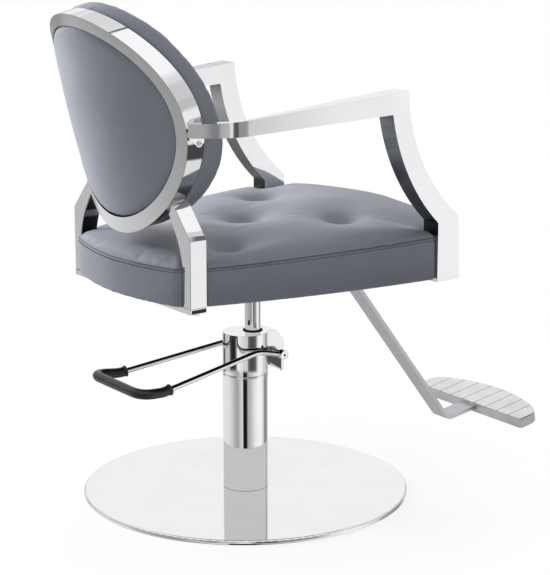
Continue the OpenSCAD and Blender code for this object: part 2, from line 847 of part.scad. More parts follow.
module seat_cushion() {
  inset = 16;
  crown_in = 58;
  slope = (border_front - border_rear) / (seat_front_y + seat_rear_y);
  function border_z(y) = border_rear + (seat_rear_y - y) * slope;
  color("slategray") difference() {
    seat_frame() hull() {
      intersection() {
        linear_extrude(200) polygon(seat_plan(0));
        side_cut(-300, 600) polygon([
          [-400, 0], [400, 0], [400, border_z(400)], [-400, border_z(-400)]
        ]);
      }
      intersection() {
        linear_extrude(200) polygon(seat_plan(crown_in));
        side_cut(-300, 600) polygon([
          [-400, 0], [400, 0], [400, border_z(400) + crown_h], [-400, border_z(-400) + crown_h]
        ]);
      }
    }
    corner_room(gap);
    mirror_x() rear_cut(post_y - post_d - gap, 200) offset(r = gap) post_profile();
    difference() {
      seat_frame() translate([0, 0, -eps]) linear_extrude(board_t + eps) polygon(seat_plan(inset));
      corner_room(inset);
    }
  }
}

// A front leg seen from the side, in (y, z)
module leg_profile() {
  knee_y = leg_front_y + 4;
  knee_z = leg_arc_z - sqrt(leg_r * leg_r - (knee_y - leg_arc_y) * (knee_y - leg_arc_y));
  out_r = leg_r + leg_w;
  bend_z = leg_arc_z - sqrt(out_r * out_r - (leg_rear_y - leg_arc_y) * (leg_rear_y - leg_arc_y));
  polygon([
    [leg_front_y, frame_z(leg_front_y) - 5], [leg_rear_y, frame_z(leg_rear_y) - 5],
    [leg_rear_y, max(knee_z, bend_z)], [knee_y, knee_z]
  ]);
  intersection() {
    translate([leg_arc_y, leg_arc_z]) difference() {
      circle(r = out_r, $fn = 180);
      circle(r = leg_r, $fn = 180);
    }
    translate([knee_y, bend_z]) square([300, arm_top_z - bend_z]);
  }
}

// The arm bar seen from the side, in (y, z)
arm_front_y = -arm_front - 1;
arm_rear_y = strap_at[1] + 2;
arm_rear_z = arm_top_z - (arm_rear_y - arm_front_y) * tan(arm_fall);
arm_low_slope = (arm_top_z - bar_front_h - arm_rear_z + bar_rear_h) / (arm_rear_y - arm_front_y);
function arm_low(y) = arm_rear_z - bar_rear_h + (arm_rear_y - y) * arm_low_slope;
module arm_profile() {
  polygon([
    [arm_front_y, arm_top_z], [arm_rear_y, arm_rear_z],
    [arm_rear_y, arm_low(arm_rear_y)], [arm_front_y, arm_low(arm_front_y)]
  ]);
}

// The side of the arm bar, its turn and its strap to the ring that lies m inside the outer one, in (x, y)
turn_n = 12;
strap_n = 10;
strap_step = (strap_end - turn_end) / strap_n;
function arm_side(m) = concat(
  arc(turn_c, turn_r - m, turn_start, turn_end, turn_n),
  arc(strap_c, strap_r - m, turn_end + strap_step, strap_end, strap_n - 1));

// The arm bar, its turn and its strap seen from above, in (x, y)
module arm_plan() {
  inner = arm_side(strap_t);
  polygon(concat(
    [[arm_x, -arm_front], [arm_x, arm_from]], arm_side(0),
    [for (i = [len(inner) - 1:-1:0]) inner[i]],
    [[arm_x - arm_w, arm_from], [arm_x - arm_w, -arm_front]]));
}

module arm() {
  color("silver") difference() {
    union() {
      intersection() {
        side_cut(arm_x - arm_w, arm_w) leg_profile();
        side_cut(0, 2 * arm_x) polygon([
          [-600, 0], [600, 0], [600, arm_top_z - (600 + arm_front) * tan(arm_fall)],
          [-arm_front, arm_top_z], [-600, arm_top_z]
        ]);
      }
      intersection() {
        linear_extrude(2 * arm_top_z) arm_plan();
        side_cut(0, 2 * arm_x) arm_profile();
      }
    }
    below_frame();
    back_frame() back_oval(ring_a + run_gap, ring_b + run_gap);
    seat_frame() at_leg_screws() cylinder(d = frame_bolt_d + 2 * run_gap, h = frame_screw_in + 1);
  }
}

module arm_left() { arm(); }
module arm_right() { mirror([1, 0, 0]) arm(); }

// Small plates on the ring's sides under the ends of the arms
tab_front_y = tab_y - tab_tip_r - 3;
tab_rear_y = tab_front_y + tab_len;
tab_screw_z = arm_low(tab_y) - tab_drop;
module arm_tabs() {
  color("silver") mirror_x() difference() {
    side_cut(ring_a - 12, 12 + tab_t) {
      polygon([
        [tab_rear_y, arm_low(tab_rear_y)], [tab_front_y, arm_low(tab_front_y)],
        [tab_front_y, tab_screw_z], [tab_y - tab_tip_r, tab_screw_z], [tab_y, tab_screw_z - tab_tip_r],
        [tab_rear_y - 6, tab_screw_z + 1], [tab_rear_y, tab_screw_z + 5]
      ]);
      translate([tab_y, tab_screw_z]) circle(r = tab_tip_r);
    }
    back_frame() back_oval(ring_a + run_gap, ring_b + run_gap);
    at_tab_screw() cylinder(d = 5 + 2 * run_gap, h = 2 * ring_a);
  }
}

module at_tab_screw() {
  translate([0, tab_y, tab_screw_z]) rotate([0, 90, 0]) children();
}

module arm_screws() {
  color("silver") mirror_x() at_tab_screw() difference() {
    union() {
      translate([0, 0, ring_a + 0.6]) cylinder(d = 5, h = tab_t);
      translate([0, 0, ring_a + tab_t]) cylinder(d1 = 9.5, d2 = 7, h = 2.6);
    }
    translate([0, 0, ring_a + tab_t + 1]) cylinder(d = 3.4, h = 4, $fn = 6);
  }
}

// One side of a round bend at p between a and b: side 1 is left of the way, -1 right of it
function bend_side(a, p, b, side) =
  let (u = unit(p - a), v = unit(b - p), left = [-u[1], u[0]], r = bend_in + bar_t / 2,
    turn = sign(u[0] * v[1] - u[1] * v[0]), angle = acos(u * v),
    c = p - u * r * tan(angle / 2) + turn * r * left, from = atan2(-turn * left[1], -turn * left[0]))
  arc(c, r - side * turn * bar_t / 2, from, from + turn * angle, 10);

// One side of the bent footrest bar from its rear end to its end under the tread
function bar_side(side) =
  let (a = bar_rear_at, p = bar_high_at, q = bar_low_at, b = bar_front_at, u = unit(p - a), v = unit(b - q))
  concat(
    [a + side * bar_t / 2 * [-u[1], u[0]]], bend_side(a, p, q, side),
    bend_side(p, q, b, side), [b + side * bar_t / 2 * [-v[1], v[0]]]);

module footrest_bar() {
  right = bar_side(-1);
  color("gainsboro") difference() {
    side_cut(-bar_w / 2, bar_w)
      polygon(concat(bar_side(1), [for (i = [len(right) - 1:-1:0]) right[i]]));
    seat_frame() at_bar_bolts() translate([0, 0, -60]) cylinder(d = bolt_d + 2 * run_gap, h = 80);
    tread_frame() at_tread_screws() translate([0, 0, -40]) cylinder(d = 6 + 2 * run_gap, h = 60);
  }
}

module bar_bolts() {
  color("silver") seat_frame() at_bar_bolts() translate([0, 0, -bar_under - bar_t])
    bolt(bolt_d, mount_t + bar_t + 4, 14, 5);
}

// The tread's own frame: x across, y forwards from the rear edge, z up from the deck
module tread_frame() {
  translate([0, -tread_y, tread_z]) rotate([-tread_tilt, 0, 0]) mirror([0, 1, 0]) children();
}

module at_tread_screws() {
  for (y = [16, 42]) translate([0, y, 0]) children();
}

// Plan of the tread inset by m: straight rear edge, bowed front edge and round ends
module tread_plan(m) {
  big = tread_arc_r - m;
  small = tread_corner_r - m;
  c = tread_d - tread_arc_r;
  x = tread_w / 2 - tread_corner_r;
  y = c + sqrt((big - small) * (big - small) - x * x);
  a = atan2(y - c, x);
  front = concat(arc([x, y], small, 0, a, 6), arc([0, c], big, a, 180 - a, 20), arc([-x, y], small, 180 - a, 180, 6));
  polygon(concat([[-x - small, m + 4], [-x - small + 4, m], [x + small - 4, m], [x + small, m + 4]], front));
}

module footrest_tread() {
  color("whitesmoke") tread_frame() difference() {
    translate([0, 0, -tread_h]) linear_extrude(tread_h) tread_plan(0);
    translate([0, 0, -tread_h - 1]) linear_extrude(tread_h + 1 - tread_top_t) tread_plan(skirt_t);
    for (i = [1:grooves])
      translate([-tread_w / 2 + i * groove_pitch - groove_w / 2, -1, -groove_d]) cube([groove_w, 2 * tread_d, 2]);
    translate([-bar_w / 2 - 1, -1, -tread_top_t - bar_t - 1]) cube([bar_w + 2, skirt_t + 2, bar_t + 1]);
    at_tread_screws() translate([0, 0, -tread_h]) cylinder(d = 6 + 2 * run_gap, h = tread_h - 2);
  }
}

module tread_screws() {
  color("silver") tread_frame() at_tread_screws() translate([0, 0, -tread_top_t - bar_t])
    bolt(6, tread_top_t + bar_t - 2.6, 11, 4);
}

base_plate();
base_cover();
base_bolts();
pump_foot();
main_cylinder();
plunger_barrel();
column_sleeve();
pump_head();
guide_bush();
piston_wiper();
shaft_bushes();
piston_rod();
piston_seal();
pedal_shaft();
pump_rocker();
pedal_bar();
pedal_grip();
boss_screws();
pump_plunger();
plunger_spring();
swivel_hub();
hub_screw();
seat_mount_plate();
mount_bolts();
side_rail_left();
side_rail_right();
rear_rail();
front_rail();
rail_end_caps();
seat_board();
seat_cushion();
rear_post_left();
rear_post_right();
frame_screws();
back_ring();
back_board();
back_panel();
back_cushion();
arm_left();
arm_right();
arm_tabs();
arm_screws();
footrest_bar();
bar_bolts();
footrest_tread();
tread_screws();
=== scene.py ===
"""Looks of a hydraulic salon styling chair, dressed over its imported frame."""

import json
import math

import bmesh
import bpy
import numpy as np
from mathutils import Matrix, Vector
from mathutils.bvhtree import BVHTree

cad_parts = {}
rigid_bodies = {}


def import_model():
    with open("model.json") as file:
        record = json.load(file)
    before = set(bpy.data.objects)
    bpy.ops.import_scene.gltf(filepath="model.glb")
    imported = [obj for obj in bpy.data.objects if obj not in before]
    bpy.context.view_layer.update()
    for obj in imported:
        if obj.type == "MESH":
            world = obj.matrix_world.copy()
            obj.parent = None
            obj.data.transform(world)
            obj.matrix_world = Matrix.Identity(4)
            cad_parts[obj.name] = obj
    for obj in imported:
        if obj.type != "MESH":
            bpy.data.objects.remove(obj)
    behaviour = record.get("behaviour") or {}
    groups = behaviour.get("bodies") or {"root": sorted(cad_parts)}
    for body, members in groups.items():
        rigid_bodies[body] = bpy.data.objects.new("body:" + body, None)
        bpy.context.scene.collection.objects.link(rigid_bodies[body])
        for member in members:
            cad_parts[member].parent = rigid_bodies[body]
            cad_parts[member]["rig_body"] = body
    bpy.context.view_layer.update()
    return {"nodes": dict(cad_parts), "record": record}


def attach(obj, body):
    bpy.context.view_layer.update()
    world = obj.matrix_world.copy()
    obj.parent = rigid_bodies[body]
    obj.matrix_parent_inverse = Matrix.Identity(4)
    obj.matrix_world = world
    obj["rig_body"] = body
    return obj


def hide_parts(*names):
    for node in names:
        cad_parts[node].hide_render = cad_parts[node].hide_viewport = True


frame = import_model()
NODES = frame["nodes"]
MM = 0.001


# ---------------------------------------------------------------- shader tools

def rgba(colour):
    """A colour with its alpha, from a grey level or a colour."""
    return (*colour, 1.0) if isinstance(colour, tuple) else (colour, colour, colour, 1.0)


class Value:
    """A shader socket that Python's own operators work on."""

    def __init__(self, finish, socket):
        self.finish = finish
        self.socket = socket

    def maths(self, operation, *others):
        return self.finish.add("ShaderNodeMath", {"operation": operation}, self, *others)

    def size(self):
        return self.maths("ABSOLUTE")

    def most(self, other):
        """The larger of the two."""
        return self.maths("MAXIMUM", other)

    def __add__(self, other):
        return self.maths("ADD", other)

    def __radd__(self, other):
        return self.maths("ADD", other)

    def __sub__(self, other):
        return self.maths("SUBTRACT", other)

    def __rsub__(self, other):
        return self.finish.add("ShaderNodeMath", {"operation": "SUBTRACT"}, other, self)

    def __mul__(self, other):
        return self.maths("MULTIPLY", other)

    def __truediv__(self, other):
        return self.maths("DIVIDE", other)

    def between(self, low, high):
        """0 below low, 1 above high, and even in between."""
        return self.finish.add("ShaderNodeMapRange", {"clamp": True}, self, low, high, 0.0, 1.0)


class Finish:
    """A material, or the world, whose nodes are added one by one."""

    def __init__(self, name, world=False):
        if world:
            self.data = bpy.data.worlds.new(name)
        else:
            self.data = bpy.data.materials.new(name)
        self.data.use_nodes = True
        self.tree = self.data.node_tree
        self.tree.nodes.clear()
        self.place = None

    def add(self, kind, settings=None, *values, out=0, **named):
        node = self.tree.nodes.new(kind)
        for key, setting in (settings or {}).items():
            if key == "stops":
                self.set_stops(node.color_ramp, setting)
            else:
                setattr(node, key, setting)
        for key, value in list(enumerate(values)) + [(k.replace("_", " "), v) for k, v in named.items()]:
            if value is None:
                continue
            if isinstance(value, Value):
                self.tree.links.new(value.socket, node.inputs[key])
            else:
                node.inputs[key].default_value = value
        return Value(self, node.outputs[out]) if len(node.outputs) else node

    @staticmethod
    def set_stops(ramp, stops):
        """Grey levels at positions in rising order, or colours."""
        first, last = ramp.elements[0], ramp.elements[-1]
        first.position, last.position = stops[0][0], stops[-1][0]
        first.color, last.color = rgba(stops[0][1]), rgba(stops[-1][1])
        for position, colour in stops[1:-1]:
            ramp.elements.new(position).color = rgba(colour)

    def here(self):
        """The point on the object, in metres, in the row frame."""
        if self.place is None:
            self.place = self.add("ShaderNodeTexCoord", None, out=3)
        return self.place

    def split(self, vector):
        """The three parts of a vector."""
        node = self.tree.nodes.new("ShaderNodeSeparateXYZ")
        self.tree.links.new(vector.socket, node.inputs[0])
        return tuple(Value(self, node.outputs[i]) for i in range(3))

    def facing(self):
        """The way the surface faces, in the row frame."""
        return self.add("ShaderNodeTexCoord", None, out=1)

    def graph(self, value, stops):
        """A grey level read off a line through stops."""
        return self.add("ShaderNodeValToRGB", {"stops": stops}, value)

    def stretched(self, x, y, z):
        return self.add("ShaderNodeMapping", None, self.here(), Scale=(x, y, z))

    def noise(self, scale, detail=2.0, roughness=0.5, vector=None):
        return self.add("ShaderNodeTexNoise", None, Vector=vector or self.here(), Scale=scale, Detail=detail,
                        Roughness=roughness)

    def mix_colour(self, factor, first, second):
        """The first colour at factor 0, the second at 1; sockets 1 to 5 are for other kinds of value."""
        return self.add("ShaderNodeMix", {"data_type": "RGBA"}, factor, None, None, None, None, None,
                        first, second, out=2)

    def bump(self, height, distance, strength=1.0, normal=None):
        return self.add("ShaderNodeBump", None, Height=height, Distance=distance, Strength=strength,
                        Normal=normal)

    def surface(self, **sockets):
        body = self.add("ShaderNodeBsdfPrincipled", None, **sockets)
        self.add("ShaderNodeOutputMaterial", None, body)
        return self.data


# ---------------------------------------------------------------- finishes

NEAR_BLACK = (0.014, 0.015, 0.019)    # the painted reflection of the dark things close to polished metal
LEG_REAR = (0.35, 0.60)               # how squarely a face looks back to be a leg's rear face
RING_REAR = (0.55, 0.70)              # the same for the back ring's rear face
LEVEL_FACE = (0.85, 0.95)             # how squarely a face looks up or down to count as level
AHEAD_OF_STRAP = (0.13, 0.11)         # y where the arms' straps begin


def dimmed(tone, share):
    """A tone made darker, or lighter where the share is above 1."""
    return rgba(tuple(c * share for c in tone))


def polished_chrome(name, tone=(0.93, 0.935, 0.95), haze=0.012, wave=0.0003, shade=None, blur=None,
                    edge=0.72):
    """Plated steel: a faint ripple, wiping marks, a little haze, and a painted dark reflection on rounded
    edges.

    shade and blur are functions of the finish: how much of a point gets the painted reflection of near dark
    things, and how much rougher it is.
    """
    f = Finish(name)
    cloud = f.noise(9.0, 3.0)
    wipes = f.noise(1.0, 3.0, 0.6, f.stretched(35.0, 35.0, 240.0))
    ripple = f.bump(f.noise(11.0, 1.0), wave, 0.3)
    uneven = cloud.between(0.3, 0.8) * 0.7 + wipes.between(0.45, 0.75) * 0.3
    plate = f.mix_colour(uneven, rgba(tone), dimmed(tone, 0.93))
    rough = haze + cloud.between(0.45, 0.75) * 0.012 + wipes.between(0.5, 0.8) * 0.014
    if blur:
        rough = rough + blur(f)
    # painted reflection: the rounded edges and the shaded places are mixed towards near black
    dark = f.add("ShaderNodeAttribute", {"attribute_name": "edge"}, out=2) * edge
    if shade:
        dark = dark.most(shade(f))
    return f.surface(
        Base_Color=f.mix_colour(dark, plate, rgba(NEAR_BLACK)),
        Metallic=1.0,
        Roughness=rough,
        Normal=f.bump(wipes, 0.000004, 0.4, ripple))


def satin_metal(name, tone):
    """Brushed aluminium with a soft, fine grain."""
    f = Finish(name)
    lines = f.noise(1.0, 2.0, 0.5, f.stretched(30.0, 420.0, 420.0))
    cloud = f.noise(12.0, 3.0)
    return f.surface(
        Base_Color=f.mix_colour(cloud.between(0.3, 0.75), rgba(tone), dimmed(tone, 0.95)),
        Metallic=0.85,
        Roughness=0.30 + lines.between(0.3, 0.7) * 0.05 + cloud.between(0.4, 0.7) * 0.03,
        Normal=f.bump(lines, 0.00003, 0.3))


def under_back(f):
    """Painted shade: the back pad's lower end, under the ring and the seat, and a little on its upward
    faces.
    """
    _, _, z = f.split(f.here())
    _, _, up = f.split(f.facing())
    return (z.between(0.560, 0.525) * 0.85).most(up.between(0.3, 0.8) * 0.06)


def cover_shade(f):
    """Painted shade: the rear cover of the back is darker towards both its ends."""
    _, _, z = f.split(f.here())
    low_end, span = 0.50, 0.38
    return f.graph((z - low_end) / span, [(0.0, 0.20), (0.14, 0.16), (0.40, 0.0), (0.75, 0.0), (1.0, 0.16)])


def seat_shades(f):
    """Painted shade: on the rear border under the back, on the sides towards the bottom, and a little on
    top.
    """
    x, _, z = f.split(f.here())
    _, back, up = f.split(f.facing())
    border = f.graph(x * 2.0 + 0.5, [(0.0, 0.10), (0.12, 0.12), (0.45, 0.38), (0.80, 0.36), (1.0, 0.28)])
    underside, border_span = 0.40, 0.10
    low = f.graph((z - underside) / border_span,
                  [(0.0, 0.30), (0.2, 0.26), (0.5, 0.10), (0.75, 0.03), (1.0, 0.0)])
    upright, top = up.between(0.5, 0.3), up.between(0.5, 0.8) * 0.14
    return (back.between(0.55, 0.85) * border).most(top).most(low * upright)


def leatherette(name, tone, shade=None):
    """Coated fabric: fine pebbles, soft pulls and slow changes of tone."""
    f = Finish(name)
    pebble = f.add("ShaderNodeTexVoronoi", {"feature": "SMOOTH_F1"}, Vector=f.here(), Scale=760.0,
                   Smoothness=0.7)
    fine = f.noise(380.0, 3.0, 0.55)
    cloud = f.noise(6.0, 4.0, 0.55)
    pull = f.noise(1.0, 3.0, 0.5, f.stretched(26.0, 26.0, 60.0))
    height = pebble * 0.5 + fine * 0.6 + pull * 0.8
    spread = cloud.between(0.3, 0.72) * 0.6 + fine.between(0.35, 0.7) * 0.4
    colour = f.mix_colour(spread, rgba(tone), dimmed(tone, 0.84))
    # painted shade: where the shade function says, the colour is mixed towards black
    if shade:
        colour = f.mix_colour(shade(f), colour, rgba(0.004))
    return f.surface(
        Base_Color=colour,
        Roughness=0.42 + fine.between(0.3, 0.7) * 0.10 + cloud.between(0.3, 0.7) * 0.05,
        Normal=f.bump(height, 0.00016, 0.45),
        Sheen_Weight=0.10, Sheen_Roughness=0.45, Specular_IOR_Level=0.42)


def arm_shade(f):
    """Painted reflections: leather in the legs' rear faces, dark undersides, and the left arm's darker top.
    """
    x, y, z = f.split(f.here())
    _, back, up = f.split(f.facing())
    foot, span = 0.38, 0.36
    leg = f.graph((z - foot) / span,
                  [(0.0, 0.0), (0.285, 0.0), (0.30, 0.90), (0.333, 0.96), (0.472, 0.93), (0.583, 0.84),
                   (0.694, 0.62), (0.778, 0.52), (0.85, 0.70), (0.889, 0.86), (1.0, 0.90)])
    left_top = up.between(*LEVEL_FACE) * x.between(0.0, 0.01) * 0.45
    under = (up * -1.0).between(*LEVEL_FACE) * 0.80
    ahead = y.between(*AHEAD_OF_STRAP)
    return (leg * back.between(*LEG_REAR) * ahead).most(left_top).most(under * ahead)


def arm_blur(f):
    """The rear faces of the legs are brushed."""
    _, y, _ = f.split(f.here())
    _, back, _ = f.split(f.facing())
    return back.between(*LEG_REAR) * y.between(*AHEAD_OF_STRAP) * 0.22


def ring_shade(f):
    """Painted reflections: the rear face darker towards its top; on the rim, the arm's underside and the
    seat.
    """
    _, _, z = f.split(f.here())
    _, back, _ = f.split(f.facing())
    low_end, face_span, rim_span = 0.50, 0.40, 0.20
    rear = f.graph((z - low_end) / face_span,
                   [(0.0, 0.02), (0.45, 0.10), (0.72, 0.20), (0.90, 0.42), (1.0, 0.45)])
    rim = f.graph((z - low_end) / rim_span,
                  [(0.0, 0.95), (0.26, 0.95), (0.30, 0.30), (0.35, 0.30), (0.37, 0.82), (0.47, 0.72),
                   (0.50, 0.22), (0.60, 0.05), (0.70, 0.05), (0.72, 0.94), (0.835, 0.94), (0.85, 0.0),
                   (1.0, 0.0)])
    return f.mix_colour(back.between(*RING_REAR), rim, rear)


def ring_blur(f):
    """The ring's rear face is brushed, its rim is polished."""
    _, back, _ = f.split(f.facing())
    return back.between(*RING_REAR) * 0.24


def post_shade(f):
    """Painted reflections: the inner faces of the rear posts mirror the leather and the rail."""
    x, _, z = f.split(f.here())
    across, _, _ = f.split(f.facing())
    inner = (across * x * -1.0).between(0.08, 0.12)
    low_end, span = 0.44, 0.14
    return inner * f.graph((z - low_end) / span,
                           [(0.0, 0.90), (0.42, 0.93), (0.44, 0.25), (0.50, 0.10), (0.53, 0.93),
                            (1.0, 0.88)])


def head_shade(f):
    """The lower part of the pump head's ears lies in their own shadow."""
    x, y, z = f.split(f.here())
    across, _, _ = f.split(f.facing())
    on_ear = x.size().between(0.0255, 0.0248) * across.size().between(0.90, 0.95)
    return on_ear * z.between(0.253, 0.251) * y.between(-0.0625, -0.0605) * 0.93


def screw_shade(f):
    """Painted shade: the bottom of a screw's socket is dark."""
    x, _, _ = f.split(f.here())
    return x.size().between(0.0618, 0.0612) * 0.97


def rod_shade(f):
    """Painted reflections: the pedal's rods mirror the seat's dark underside above, and a thin dark line
    below.
    """
    _, _, up = f.split(f.facing())
    return f.graph(up * 0.5 + 0.5,
                   [(0.0, 0.10), (0.20, 0.15), (0.225, 0.75), (0.28, 0.75), (0.305, 0.0), (0.655, 0.0),
                    (0.675, 0.94), (0.93, 0.94), (0.97, 0.70), (1.0, 0.70)])


TREAD_PITCH = 0.0333333
TREAD_TOP = (0.524, 0.0763)           # -y and z of a point on the tread's top
TREAD_DOWN = (-0.17365, 0.98481)      # the way down into the tread, along y and -z


def cast_tread(name):
    """Polished cast aluminium: painted shade on grooves and skirt, matt ends in place of a bright
    reflection.
    """
    tone = (0.86, 0.865, 0.875)
    f = Finish(name)
    x, y, z = f.split(f.here())
    across, back, _ = f.split(f.facing())
    turned = (x / TREAD_PITCH + 1.0).maths("FRACT")
    off_line = (turned - 0.5).size() * TREAD_PITCH
    below = (y + TREAD_TOP[0]) * TREAD_DOWN[0] - (z - TREAD_TOP[1]) * TREAD_DOWN[1]
    cloud = f.noise(40.0, 4.0, 0.6)
    # painted shade in the grooves, found by their place on the tread
    in_groove = below.between(0.0002, 0.0006) * below.between(0.0024, 0.0019)
    groove = off_line.between(0.0014, 0.0009) * in_groove
    # painted shade on the skirt, which faces back
    skirt = back.between(0.85, 0.95) * 0.34
    end = across.size().between(0.35, 0.55)
    dark = (groove * 0.88).most(skirt + cloud.between(0.4, 0.7) * 0.10)
    return f.surface(
        Base_Color=f.mix_colour(dark, rgba(tone), rgba(0.05)),
        # the ends are made matt so that they show white in place of the dark they would mirror
        Metallic=0.75 - end * 0.75,
        Roughness=0.30 + cloud.between(0.3, 0.7) * 0.12,
        Normal=f.bump(f.noise(420.0, 3.0) + cloud * 0.6, 0.00003, 0.4))


def moulded_rubber(name, tone, rough):
    """Rubber or thread: a fine matt grain."""
    f = Finish(name)
    grain = f.noise(600.0, 3.0)
    cloud = f.noise(35.0, 3.0)
    return f.surface(
        Base_Color=f.mix_colour(cloud.between(0.35, 0.75), rgba(tone), dimmed(tone, 1.9)),
        Roughness=rough + cloud.between(0.3, 0.7) * 0.14,
        Normal=f.bump(grain, 0.00010, 0.4))


def painted(name, tone, rough):
    """Paint or plastic with a slight orange peel."""
    f = Finish(name)
    orange_peel = f.noise(260.0, 2.0)
    cloud = f.noise(22.0, 3.0)
    return f.surface(
        Base_Color=f.mix_colour(cloud.between(0.3, 0.75), rgba(tone), dimmed(tone, 1.4)),
        Roughness=rough + cloud.between(0.3, 0.7) * 0.1,
        Normal=f.bump(orange_peel, 0.00015, 0.4))


def plywood(name):
    """Plywood with its grain across the seat."""
    f = Finish(name)
    rings = f.noise(1.0, 5.0, 0.6, f.stretched(60.0, 6.0, 60.0))
    return f.surface(
        Base_Color=f.mix_colour(rings.between(0.3, 0.7), rgba((0.52, 0.36, 0.20)), rgba((0.34, 0.21, 0.10))),
        Roughness=0.62 + rings * 0.1,
        Normal=f.bump(rings, 0.0003, 0.4))


def woven(name, tone):
    """Dust-cover cloth with a plain weave."""
    f = Finish(name)
    across = f.noise(1.0, 1.0, 0.5, f.stretched(1500.0, 90.0, 90.0))
    along = f.noise(1.0, 1.0, 0.5, f.stretched(90.0, 1500.0, 90.0))
    return f.surface(
        Base_Color=f.mix_colour(across.between(0.3, 0.7), rgba(tone), dimmed(tone, 2.2)),
        Roughness=0.85 + along * 0.1,
        Normal=f.bump(across + along, 0.0002, 0.6))


CHROME = polished_chrome("chrome_polished")
ARM_CHROME = polished_chrome("chrome_arms", shade=arm_shade, blur=arm_blur, edge=0.90)
RING_CHROME = polished_chrome("chrome_ring", shade=ring_shade, blur=ring_blur)
POST_CHROME = polished_chrome("chrome_posts", shade=post_shade)
HEAD_CHROME = polished_chrome("chrome_head", shade=head_shade)
ROD_CHROME = polished_chrome("chrome_rods", shade=rod_shade)
SCREW_CHROME = polished_chrome("chrome_screws", shade=screw_shade)
MIRROR_BASE = polished_chrome("chrome_base", (0.95, 0.955, 0.96), 0.012, 0.0002)
TREAD = cast_tread("cast_aluminium")
ZINC = polished_chrome("zinc_screws", (0.62, 0.63, 0.65), 0.16)
SATIN = satin_metal("satin_aluminium", (0.60, 0.605, 0.63))
# one leatherette in three tones that differ only as painted light, each with its own painted shade
LEATHER = leatherette("grey_leatherette", (0.330, 0.345, 0.396), shade=seat_shades)
COVER_LEATHER = leatherette("grey_leatherette_cover", (0.318, 0.332, 0.382), shade=cover_shade)
PAD_LEATHER = leatherette("grey_leatherette_back", (0.335, 0.350, 0.402), shade=under_back)
GRIP = moulded_rubber("grip_rubber", (0.014, 0.014, 0.016), 0.22)
RUBBER = moulded_rubber("seal_rubber", (0.02, 0.02, 0.02), 0.6)
BLACK = painted("black_paint", (0.02, 0.02, 0.022), 0.42)
PLASTIC = painted("black_plastic", (0.015, 0.015, 0.016), 0.5)
IRON = painted("cast_iron_paint", (0.05, 0.05, 0.052), 0.55)
BRASS = polished_chrome("bush_brass", (0.42, 0.36, 0.27), 0.25)
PLY = plywood("seat_plywood")
# the seam's dark tone is painted shade, standing in for the seam's groove
SEAM_SHADE = leatherette("seam_shade_leatherette", (0.105, 0.110, 0.125))
THREAD = moulded_rubber("grey_thread", (0.022, 0.023, 0.028), 0.6)
LINING = woven("dust_cover", (0.012, 0.012, 0.013))

# each slot's material, and the nodes that have one of their own
FINISHES = {
    "chrome": CHROME, "steel": ZINC, "iron": IRON, "brass": BRASS, "rubber": RUBBER, "grip_rubber": GRIP,
    "black_metal": BLACK, "black_plastic": PLASTIC, "plywood": PLY, "upholstery": LEATHER,
    "satin_metal": SATIN,
}
SPECIAL = {
    "arm_left": ARM_CHROME, "arm_right": ARM_CHROME, "back_ring": RING_CHROME, "base_cover": MIRROR_BASE,
    "footrest_tread": TREAD, "rear_post_left": POST_CHROME, "rear_post_right": POST_CHROME,
    "pump_head": HEAD_CHROME, "pedal_bar": ROD_CHROME, "boss_screws": SCREW_CHROME,
    "back_panel": COVER_LEATHER,
}
SLOT_OF = {s["node"]: s["material_slot"] for s in frame["record"]["subparts"]}


def finish_of(node):
    """The material of a CAD node: its own, or its slot's."""
    return SPECIAL.get(node, FINISHES[SLOT_OF[node]])


for name, node in NODES.items():
    node.data.materials.clear()
    node.data.materials.append(finish_of(name))


# ---------------------------------------------------------------- making pieces

def part(name, body, mesh, material):
    """A finished piece: it rides on a body and wears the finish it is given."""
    piece = bpy.data.objects.new(name, mesh)
    bpy.context.scene.collection.objects.link(piece)
    mesh.materials.clear()
    mesh.materials.append(material)
    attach(piece, body)
    return piece


def mesh_of(bm, name, smooth=True):
    """The bmesh as a mesh, smooth or flat shaded."""
    mesh = bpy.data.meshes.new(name)
    for face in bm.faces:
        face.smooth = smooth
    bm.to_mesh(mesh)
    bm.free()
    return mesh


def as_mesh(data, modify=None):
    """The mesh that a curve or a mesh gives, after what modify does to its object."""
    holder = bpy.data.objects.new("holder", data)
    bpy.context.scene.collection.objects.link(holder)
    if modify:
        modify(holder)
    graph = bpy.context.evaluated_depsgraph_get()
    result = bpy.data.meshes.new_from_object(holder.evaluated_get(graph))
    bpy.data.objects.remove(holder)
    return result


def applied(mesh, kind, **settings):
    """The mesh after one modifier."""
    def modify(holder):
        modifier = holder.modifiers.new("m", kind)
        for key, value in settings.items():
            setattr(modifier, key, value)
    return as_mesh(mesh, modify)


def smoothed(mesh):
    """Shades every face smooth."""
    for face in mesh.polygons:
        face.use_smooth = True


def made_finer(piece):
    """Gives a piece one subdivision."""
    finer = piece.modifiers.new("finer", "SUBSURF")
    finer.levels = finer.render_levels = 1


def extruded(bm, face, way):
    """Extrudes a bmesh's face along a vector, and gives the new points."""
    grown = bmesh.ops.extrude_face_region(bm, geom=[face])["geom"]
    new = [g for g in grown if isinstance(g, bmesh.types.BMVert)]
    bmesh.ops.translate(bm, verts=new, vec=way)
    bmesh.ops.recalc_face_normals(bm, faces=bm.faces)
    return new


def points(mesh):
    """The mesh's points as rows of x, y and z."""
    co = np.zeros(len(mesh.vertices) * 3)
    mesh.vertices.foreach_get("co", co)
    return co.reshape(-1, 3)


def put_points(mesh, co):
    """Moves the mesh's points to the rows given."""
    mesh.vertices.foreach_set("co", np.ascontiguousarray(co).ravel())
    mesh.update()


def welded(mesh, reach):
    """The mesh with points closer than the reach made one."""
    bm = bmesh.new()
    bm.from_mesh(mesh)
    bmesh.ops.remove_doubles(bm, verts=bm.verts, dist=reach)
    bmesh.ops.dissolve_degenerate(bm, edges=bm.edges, dist=reach)
    bmesh.ops.recalc_face_normals(bm, faces=bm.faces)
    return mesh_of(bm, mesh.name)


CLOTH_PRESSURE, CLOTH_FRAMES = 4.0, 20


